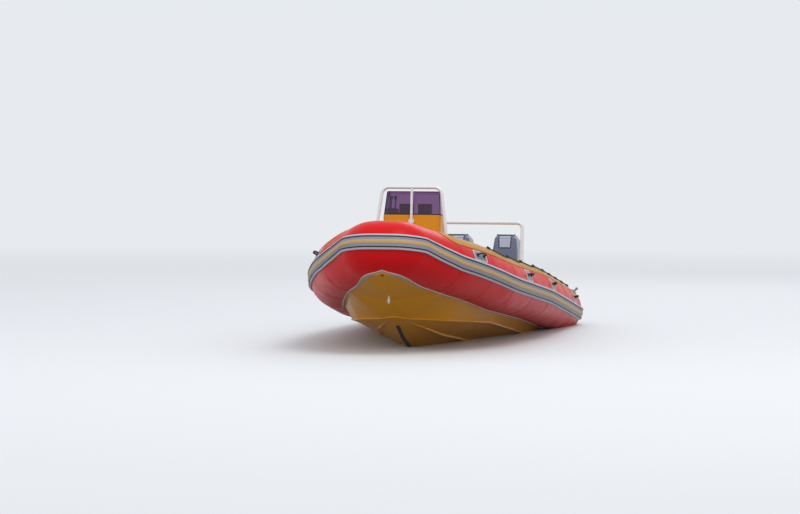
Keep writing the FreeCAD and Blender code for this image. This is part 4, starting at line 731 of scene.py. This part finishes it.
def make_patches():
    """Pale-edged patches under the grab handles, the handles' feet, and pads under the lifeline's loops."""
    for side, sign in SIDES:
        edges, faces_on, feet, pads = Shape(), Shape(), Shape(), Shape()
        for station in HANDLE_STATIONS:
            middle = at_station(station)
            low = strake_angle(tube_frame(middle)[-1]) + math.degrees(0.079 / STRAKE_FACE) + 1.8
            high = PAD_EDGE - 1.8
            half = math.radians((high - low) / 2) * RADIUS
            angle = (low + high) / 2
            edges.add(*bonded_patch(middle, angle, 0.130, half, 0.022, 0.0003, 0.0022, sign))
            faces_on.add(*bonded_patch(middle, angle, 0.116, half - 0.010, 0.016, 0.0020, 0.0024, sign))
            for way in (-1, 1):
                foot = middle + way * 0.066
                feet.add(*bonded_patch(foot, angle, 0.024, 0.019, 0.018, 0.0042, 0.0040, sign, 10))
        for station in LOOP_STATIONS:
            spot = at_station(station)
            pads.add(*bonded_patch(spot, LOOP_ANGLE, 0.036, 0.036, 0.035, 0.0052, 0.0022, sign))
        edges.piece(f"patch_edges_{side}", "patch_edge", stands_for=[f"patches_{side}"], slot="patch_fabric")
        faces_on.piece(f"patch_faces_{side}", "patch_fabric")
        feet.piece(f"handle_feet_{side}", "black_rubber")
        pads.piece(f"loop_pads_{side}", "black_rubber")


# Edge of the hull on the tube. Columns: distance from the bow's middle, degrees below the tube's widest line.
JOINT = (
    (0.00, 49.0), (0.05, 53.0), (0.10, 60.0), (0.16, 69.5), (0.22, 77.5), (0.30, 82.5), (0.42, 86.5),
    (0.58, 89.5), (0.74, 92.5), (0.87, 96.0), (1.05, 99.5), (1.29, 102.3), (1.70, 105.0), (2.10, 105.8),
    (2.90, 105.2), (4.88, 104.8), (6.50, 105.1),
)


def make_rim():
    """Rubber strip over the joint of hull and tube, pale along its upper edge."""
    end = at_station(0.02)
    section = [(-0.030, 0.001), (-0.028, 0.007), (-0.022, 0.010), (0.014, 0.011), (0.021, 0.009),
               (0.024, 0.001), (0.022, -0.010), (-0.026, -0.010)]
    pale_column = 4
    rings = []
    for d in distances(-end, end):
        foot = looked_up(JOINT, abs(d))[1]
        rings.append(tube_ring(d, [(lift, math.degrees(up / RADIUS) - foot) for up, lift in section]))
    Shape().rings(rings).piece("joint_strip", ["rim_rubber", "patch_edge"], second={pale_column})


# Cushions


def crowned(name, low, high, cap, lean):
    """Upholstered block about its own middle: a rounded, crowned form that is then blown up a little."""
    size, middle = high - low, (high + low) / 2
    form = bmesh.new()
    bmesh.ops.create_cube(form, size=1.0)
    bmesh.ops.subdivide_edges(form, edges=form.edges, cuts=24, use_grid_fill=True)
    # Corners and edges are rounded by pulling the cube towards a ball of a high power.
    power = 9
    for vert in form.verts:
        spread = sum(abs(2 * c) ** power for c in vert.co) ** (1 / power)
        vert.co = [c / spread * side for c, side in zip(vert.co, size)]
    mesh = bpy.data.meshes.new(name)
    form.to_mesh(mesh)
    form.free()
    piece = link(name, mesh)
    blow_up(piece, cap)
    for vert in piece.data.vertices:
        vert.co.x += lean * (vert.co.z / size.z)
    return piece, middle, size


def as_shown(piece):
    """The piece's mesh with its modifiers applied, which are then taken off."""
    mesh = bpy.data.meshes.new_from_object(piece.evaluated_get(bpy.context.evaluated_depsgraph_get()))
    piece.modifiers.clear()
    return mesh


def blow_up(piece, cap, frames=20):
    """Cloth under inner pressure, each point held within a cap of where it was, and applied."""
    remesh = piece.modifiers.new("even", "REMESH")
    remesh.mode = "VOXEL"
    remesh.voxel_size = 0.006
    piece.data = as_shown(piece)
    start = [vert.co.copy() for vert in piece.data.vertices]
    cloth = piece.modifiers.new("cloth", "CLOTH")
    cloth.settings.use_pressure = True
    cloth.settings.uniform_pressure_force = 4.0
    cloth.settings.effector_weights.gravity = 0.0
    cloth.settings.quality = 5
    scene = bpy.context.scene
    for frame_number in range(1, frames + 1):
        scene.frame_set(frame_number)
    blown = as_shown(piece)
    scene.frame_set(1)
    for vert, old in zip(blown.vertices, start):
        step = vert.co - old
        if step.length > cap:
            vert.co = old + step.normalized() * cap
    piece.data = blown


def groove(piece, axis, places, width, depth, face):
    """Presses sewn channels into the side that looks along the face axis."""
    top = max(vert.co[face] for vert in piece.data.vertices)
    for vert in piece.data.vertices:
        if vert.co[face] <= top * 0.35:
            continue
        for place in places:
            near = abs(vert.co[axis] - place) / width
            if near < 3:
                vert.co[face] -= depth * math.exp(-near * near)


def piping_path(piece, size, face, level, lean, count=160):
    """Points round a cushion where a plane square to its face axis cuts it, a little proud of the fabric."""
    form = BVHTree.FromPolygons([vert.co for vert in piece.data.vertices],
                                [tuple(flat.vertices) for flat in piece.data.polygons])
    first, second = [k for k in range(3) if k != face]
    start = Vector()
    start[face] = level
    path = []
    for i in range(count):
        turn = math.tau * i / count
        way = Vector()
        way[first], way[second] = math.cos(turn) * size[first], math.sin(turn) * size[second]
        way.x += lean * way.z / size.z
        path.append(form.ray_cast(start, way)[0] + way.normalized() * 0.001)
    return path


def make_seat():
    """Helm seat's cushion and backrest, each with sewn channels, and piping along their edges."""
    piping = Shape()
    for name, node, low, high, cap, lean, channels, axis, face, levels in (
        ("seat_pad", "seat_cushion", (3.318, -0.198, 0.973), (3.948, 0.198, 1.060), 0.010, 0.0,
         (-0.155, 0.0, 0.155), 0, 2, (-0.030, 0.028)),
        ("back_pad", "seat_backrest", (3.222, -0.198, 0.975), (3.284, 0.198, 1.290), 0.008, -0.012,
         (-0.10, 0.0, 0.10), 1, 0, (-0.021, 0.021)),
    ):
        piece, middle, size = crowned(name, Vector(low), Vector(high), cap, lean)
        groove(piece, axis, channels, 0.006, 0.006, face)
        for level in levels:
            path = [spot + middle for spot in piping_path(piece, size, face, level, lean)]
            piping.bar(path, 0.0045, closed=True)
        piece.data.transform(LEVEL @ Matrix.Translation(middle))
        piece.data.materials.append(MATERIALS["cushion"])
        piece.data.shade_smooth()
        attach(piece, "boat")
        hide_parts(node)
    piping.piece("seat_piping", "piping", slot="cushion")


# Console


def make_windscreen_edges():
    """Rubber channel at the windscreen's foot, and trim along its free edges and its two bends."""
    corners = ((4.458, 1), (4.7555, 1), (4.7555, -1), (4.458, -1))
    foot = [Vector((x, way * 0.284, 1.367)) for x, way in corners]
    half = ((4.457, 0.2815, 1.364), (4.580, 0.2635, 1.598), (4.7075, 0.2635, 1.598))
    edge = [Vector(spot) for spot in half] + [Vector((x, -y, z)) for x, y, z in reversed(half)]
    trim = Shape()
    trim.bar(rounded(foot, 0.02, 4), 0.008)
    trim.bar(rounded(edge, 0.012, 3), 0.0055)
    for way in (1, -1):
        trim.bar([Vector((4.7535, way * 0.2825, 1.37)), Vector((4.7085, way * 0.2645, 1.596))], 0.0048)
    trim.piece("windscreen_trim", "black_rubber")


def dash_point(across, up):
    """A point on the instrument panel: out from the middle, and up its slope from the foot."""
    foot, top = Vector((4.385, 0, 1.171)), Vector((4.460, 0, CONSOLE_TOP))
    rise = (top - foot).normalized()
    face = Vector((-rise.z, 0, rise.x))
    return foot + rise * up + PORT * across + face * 0.005, rise, face


def make_instruments():
    """Round instruments with bezels, pale dials, ticks and needles."""
    rims, dials, needles = Shape(), Shape(), Shape()
    tick = ((0.80, 0.0008), (0.93, 0.0008), (0.93, -0.0008), (0.80, -0.0008))
    needle = ((-0.2, 0.0022), (0.78, 0.0006), (0.78, -0.0006), (-0.2, -0.0022))
    for across, radius, angle in ((-0.186, 0.027, 40), (-0.096, 0.040, -60), (0.096, 0.040, 75),
                                  (0.186, 0.027, -30)):
        spot, rise, face = dash_point(across, 0.132)
        rims.turned(((0, radius + 0.006), (0.006, radius + 0.006), (0.009, radius + 0.002),
                     (0.009, radius), (0.004, radius - 0.001)), spot, face)
        dials.turned(((0.0005, radius), (0.0045, radius), (0.0046, 0.001)), spot, face)
        needles.turned(((0, 0.005), (0.003, 0.004)), spot + face * 0.0052, face, 12)
        marks = [(angle, needle, 0.0052, 0.0012)] + [(-135 + 27 * k, tick, 0.0046, 0.0005) for k in range(11)]
        for degrees, corners, lift, depth in marks:
            way = Matrix.Rotation(math.radians(degrees), 3, face) @ rise
            side = face.cross(way)
            outline = [spot + face * lift + way * radius * reach + side * half for reach, half in corners]
            needles.rings(slab(outline, face, depth, 0.0001))
    rims.piece("instrument_rims", "steel")
    dials.piece("instrument_dials", "dial", slot="gelcoat")
    needles.piece("instrument_needles", "black_plastic")


def make_switches():
    """A row of rocker switches on the instrument panel, most of them pressed down."""
    switches = Shape()
    for k in range(8):
        spot, rise, face = dash_point(-0.182 + 0.052 * k, 0.050)
        switches.plate(spot, PORT, rise, (0.012, 0.018, 0.003), face, 0.003, 0.001)
        tilt = (face + rise * (0.18 if k % 3 else -0.18)).normalized()
        switches.plate(spot + face * 0.003, PORT, rise, (0.0085, 0.014, 0.002), tilt, 0.007)
    switches.piece("switches", "switch_plastic", slot="black_plastic")


def make_displays():
    """Dark glass on the aft face of each display, and keys below it."""
    glass, keys = Shape(), Shape()
    aft, foot = BOW - 1.980, CONSOLE_TOP + 0.022
    for across in (-0.095, 0.095):
        middle = Vector((aft, across, foot + 0.0575))
        glass.plate(middle, PORT, UP, (0.054, 0.036, 0.004), -FORE, 0.003, 0.001)
        for k in range(5):
            spot = Vector((aft, across - 0.044 + 0.022 * k, foot + 0.011))
            keys.turned(((0, 0.0055), (0.0045, 0.005), (0.005, 0.003)), spot, -FORE, 12)
    glass.piece("display_glass", "display_glass", slot="black_plastic")
    keys.piece("display_keys", "switch_plastic", slot="black_plastic")


def make_console_fittings():
    """Hinges and a latch on the locker's hatch, and a louvred vent in each side."""
    metal, dark = Shape(), Shape()
    foot = Vector((4.860, 0, DECK))
    rise = Vector((-0.070, 0, 0.871)).normalized()
    ahead = Vector((rise.z, 0, -rise.x))
    for up in (0.20, 0.50):
        spot = foot + rise * up + ahead * 0.004 + PORT * 0.208
        metal.plate(spot, PORT, rise, (0.018, 0.028, 0.006), ahead, 0.008)
        metal.bar([spot + rise * 0.03 + ahead * 0.008, spot - rise * 0.03 + ahead * 0.008], 0.005, 10)
    spot = foot + rise * 0.34 + ahead * 0.006 - PORT * 0.17
    dark.plate(spot, PORT, rise, (0.018, 0.034, 0.008), ahead, 0.008)
    metal.turned(((0, 0.011), (0.013, 0.010), (0.014, 0.006)), spot, ahead, 16)
    for way in (1, -1):
        face = PORT * way
        middle = Vector((4.60, way * 0.290, 0.72))
        dark.plate(middle, FORE, UP, (0.085, 0.05, 0.012), face, 0.004, steps=4)
        tip = (face + UP * -0.5).normalized()
        for k in range(5):
            slat = middle + UP * (-0.034 + 0.017 * k) + face * 0.004
            dark.plate(slat, FORE, face.cross(tip).cross(tip), (0.074, 0.0045, 0.002), tip, 0.007, steps=2)
    metal.piece("console_fittings", "steel")
    dark.piece("console_vents", "black_plastic")


# Bolts, foredeck and sole


def bolt(shape, spot, axis, size):
    """Domed head on a washer."""
    profile = ((0, 1.5), (0.22, 1.45), (0.24, 1.0), (0.7, 0.94), (0.95, 0.5))
    shape.turned([(size * along, size * radius) for along, radius in profile], spot, axis, 12)


def make_bolts():
    """Bolts in the feet of the rail and of the stern frame with its braces."""
    heads = Shape()
    plate = DECK + 0.008
    for station, out in ((4.812, 0.445), (0.760, 0.605), (1.254, 0.605)):
        for way in (1, -1):
            for k in range(4):
                turn = math.radians(45 + 90 * k)
                spot = Vector((station + 0.033 * math.cos(turn), way * out + 0.033 * math.sin(turn), plate))
                bolt(heads, spot, UP, 0.0045)
    heads.piece("foot_bolts", "steel")


def make_deck_fittings():
    """Foredeck hatch with hinges and a pull, and drains in the sole."""
    lid, metal, dark = Shape(), Shape(), Shape()
    hatch = Vector((5.235, 0, FOREDECK))
    dark.plate(hatch, PORT, FORE, (0.21, 0.13, 0.04), UP, 0.004, 0.001, 6)
    lid.plate(hatch + UP * 0.003, PORT, FORE, (0.203, 0.123, 0.036), UP, 0.011, 0.004, 6)
    for out in (-0.13, 0.13):
        spot = hatch + FORE * 0.127 + PORT * out + UP * 0.006
        metal.plate(spot, PORT, FORE, (0.03, 0.014, 0.004), UP, 0.010, 0.002)
    pull = hatch - FORE * 0.090 + UP * 0.013
    metal.plate(pull, PORT, FORE, (0.028, 0.016, 0.008), UP, 0.004, 0.001, 4)
    drain = ((0, 0.04), (0.003, 0.039), (0.0035, 0.03), (0.0015, 0.028))
    for station, out in ((0.35, 0.52), (0.35, -0.52), (2.2, 0.0)):
        metal.turned(drain, Vector((station, out, DECK)), UP, 28)
    lid.piece("anchor_hatch", "gelcoat")
    metal.piece("deck_metal", "steel")
    dark.piece("hatch_gasket", "black_rubber")


# Motors


def motor_point(sign, ahead, across, up):
    """A point given from the steering axis and the transom's top, on one motor."""
    return Vector((STEERING_AXIS.x + ahead, sign * STEERING_AXIS.y + across, STEERING_AXIS.z + up))


def motor_ring(sign, height, front, aft, half, corner):
    """A level rounded rectangle on one motor."""
    spots = [motor_point(sign, ahead, across, height)
             for ahead, across in ((front, half), (aft, half), (aft, -half), (front, -half))]
    return rounded(spots, corner, 6, closed=True)


# Cowl's rings. Columns: height over the transom, front, aft, half width, corner, in metres.
COWL = (
    (0.2350, 0.0600, -0.3300, 0.1085, 0.060),
    (0.3182, 0.0975, -0.3950, 0.1488, 0.062),
    (0.4270, 0.1000, -0.4000, 0.1550, 0.062),
    (0.6958, 0.0850, -0.3925, 0.1488, 0.060),
    (0.8430, 0.0625, -0.3775, 0.1302, 0.052),
    (0.8750, 0.0300, -0.3400, 0.1116, 0.042),
)


def cowl_at(height):
    """Front, aft, half width and corner of the cowl at a height."""
    return looked_up(COWL, height)[1:]


def make_cowl_details(side, sign):
    """Black cap with two ears, a dark part that paints the shadow line along the cowl's top as painted shade;
    framed panel on the front, seam, louvres aft, and a latch on each side.
    """
    dark, pale = Shape(), Shape()
    head, front, aft, half, corner = COWL[-1]
    # The black cap and its two ears are painted shade: a dark part put where the cowl's top shows a shadow
    # line.
    # Columns: over the cowl's head, and in from its front, aft end, sides and corner radius.
    cap = ((-0.004, 0.002, 0.060, 0.003, 0.0), (0.008, 0.006, 0.063, 0.005, 0.0),
           (0.014, 0.013, 0.070, 0.011, 0.004), (0.016, 0.022, 0.080, 0.020, 0.010))
    dark.rings([motor_ring(sign, head + up, front - fore, aft + back, half - beside, corner - less)
                for up, fore, back, beside, less in cap])
    for way in (1, -1):
        shadow_ear = motor_point(sign, front - 0.060, way * (half - 0.009), head)
        dark.plate(shadow_ear, FORE, PORT, (0.020, 0.005, 0.004), UP, 0.021, 0.003)

    def on_front(across, up, lift):
        return motor_point(sign, cowl_at(up)[0] + lift, across, up)

    low, high, foot, top = 0.728, 0.868, 0.066, 0.074
    edge = [(between(foot, top, k / 8), between(low, high, k / 8)) for k in range(9)]
    flank = edge[1:-1]
    corners = [(top + 0.001, high)] + flank[::-1] + [(foot, low), (-foot, low)]
    corners += [(-across, up) for across, up in flank] + [(-top - 0.001, high)]
    dark.bar([on_front(across, up, 0.0015) for across, up in corners], 0.0055)
    rings = []
    for across, up in edge:
        wide = across - 0.004
        row = [on_front(wide * (2 * k / 8 - 1), up, 0.0022) for k in range(9)]
        rings.append(row + [on_front(wide, up, -0.006), on_front(-wide, up, -0.006)])
    pale.rings(rings)
    seam, proud = COWL[1][0] + 0.004, 0.0005
    front, aft, half, corner = cowl_at(seam)
    around = motor_ring(sign, seam, front + proud, aft - proud, half + proud, corner + proud)
    dark.bar(around, 0.0045, closed=True)
    for k in range(6):
        up = 0.742 + 0.018 * k
        louvre = motor_point(sign, cowl_at(up)[1] + 0.002, 0, up)
        dark.plate(louvre, PORT, UP, (0.075, 0.0045, 0.003), Vector((-1, 0, 0.12)), 0.007)
    for way in (-1, 1):
        up = 0.330
        latch = motor_point(sign, -0.15, way * (cowl_at(up)[2] - 0.003), up - 0.012)
        dark.plate(latch, FORE, UP, (0.032, 0.014, 0.006), PORT * way, 0.012, 0.003)
    # Besides the real trim, this set holds the black cap and ears that paint the cowl top's shadow line.
    dark.piece(f"cowl_trim_and_painted_shade_{side}", "black_plastic", f"{side}_motor", stands_for=[f"cowl_trim_{side}"])
    pale.piece(f"cowl_panel_{side}", "panel_paint", f"{side}_motor", slot="cowl_paint")


def make_leg_fittings(side, sign):
    """Bolts and an anode on the leg, and water intakes on both sides of the gearcase."""
    metal, intake = Shape(), Shape()
    for z in (-0.40, -0.46, -0.52):
        for way in (-1, 1):
            bolt(metal, motor_point(sign, -0.115, way * 0.0395, z - 0.02), PORT * way, 0.005)
    anode = motor_point(sign, -0.330, 0.0, -0.647)
    metal.plate(anode, FORE, PORT, (0.045, 0.018, 0.01), -UP, 0.016, 0.004, 4)
    metal.piece(f"leg_fittings_{side}", "engine_metal", f"{side}_motor")
    for way in (-1, 1):
        for k in range(5):
            slot = motor_point(sign, -0.120 - 0.004 * k, way * 0.0265, -0.700 - 0.016 * k)
            intake.plate(slot, FORE, UP, (0.020, 0.0035, 0.003), PORT * way, 0.006)
    intake.piece(f"water_intake_{side}", "black_plastic", f"{side}_motor")


# Stage

BACKDROP = (0.80, 0.83, 0.86)


def seen_rays(tree):
    """One where the camera, a reflection or a look through glass sees the surface, and zero for its light."""
    path = tree.nodes.new("ShaderNodeLightPath")
    total = path.outputs["Is Camera Ray"]
    for kind in ("Is Glossy Ray", "Is Transmission Ray"):
        larger = add_node(tree, "ShaderNodeMath", {0: total, 1: path.outputs[kind]}, operation="MAXIMUM")
        total = larger.outputs["Value"]
    return total


def make_floor():
    """Pale floor at the waterline, which fades into the backdrop far from the boat."""
    reach = 140.0
    mesh = bpy.data.meshes.new("floor")
    mesh.from_pydata([(x * reach, y * reach, 0) for x, y in QUARTERS], [], [(0, 1, 2, 3)])
    floor = link("floor", mesh)
    # The floor is seen pale, and gives back only a little light from below.
    shader = Shader("floor", (0.30, 0.31, 0.32), 0.9)
    seen = seen_rays(shader.tree)
    shader.tint(seen, (0.78, 0.79, 0.80))
    away = shader.node("VectorMath", {0: shader.coords}, operation="LENGTH")
    glow = shader.node("Emission", {"Color": (*BACKDROP, 1.0)})
    far = shader.product(shader.ramp(away.outputs["Value"], 6.0, 40.0), seen)
    mix = shader.node("MixShader", {
        "Fac": far, 1: shader.main.outputs["BSDF"], 2: glow.outputs["Emission"]})
    output = next(n for n in shader.tree.nodes if n.type == "OUTPUT_MATERIAL")
    shader.tree.links.new(mix.outputs["Shader"], output.inputs["Surface"])
    floor.data.materials.append(shader.material)


def make_world():
    """Soft light from all round, and a pale backdrop."""
    world = bpy.data.worlds.new("studio")
    bpy.context.scene.world = world
    world.use_nodes = True
    tree = world.node_tree
    light = tree.nodes["Background"]
    light.inputs["Color"].default_value = (0.92, 0.95, 1.0, 1.0)
    light.inputs["Strength"].default_value = 0.85
    pale = add_node(tree, "ShaderNodeBackground", {"Color": (*BACKDROP, 1.0)})
    mix = add_node(tree, "ShaderNodeMixShader", {
        "Fac": seen_rays(tree), 1: light.outputs["Background"], 2: pale.outputs["Background"]})
    tree.links.new(mix.outputs["Shader"], tree.nodes["World Output"].inputs["Surface"])


def make_lamps():
    """Three soft lamps aimed at the middle of the boat."""
    for name, spot, size, power in (
        ("key", (9.0, 6.0, 17.0), 9.0, 1100.0),
        ("fill", (13.0, -13.0, 8.0), 10.0, 200.0),
        ("back", (-15.0, 3.0, 12.0), 9.0, 400.0),
    ):
        light = bpy.data.lights.new(name, "AREA")
        light.size = size
        light.energy = power
        lamp = link(name, light)
        lamp.location = spot
        lamp.rotation_euler = (-Vector(spot)).to_track_quat("-Z", "Y").to_euler()


MATERIALS = make_materials()
make_camera()
make_floor()
make_world()
make_lamps()
dress_nodes()
make_tube()
make_seam_tapes()
make_strake()
make_pads()
make_patches()
make_rim()
make_seat()
make_windscreen_edges()
make_instruments()
make_switches()
make_displays()
make_console_fittings()
make_bolts()
make_deck_fittings()
for side, sign in SIDES:
    make_cowl_details(side, sign)
    make_leg_fittings(side, sign)

bpy.context.scene.view_settings.view_transform = "Standard"
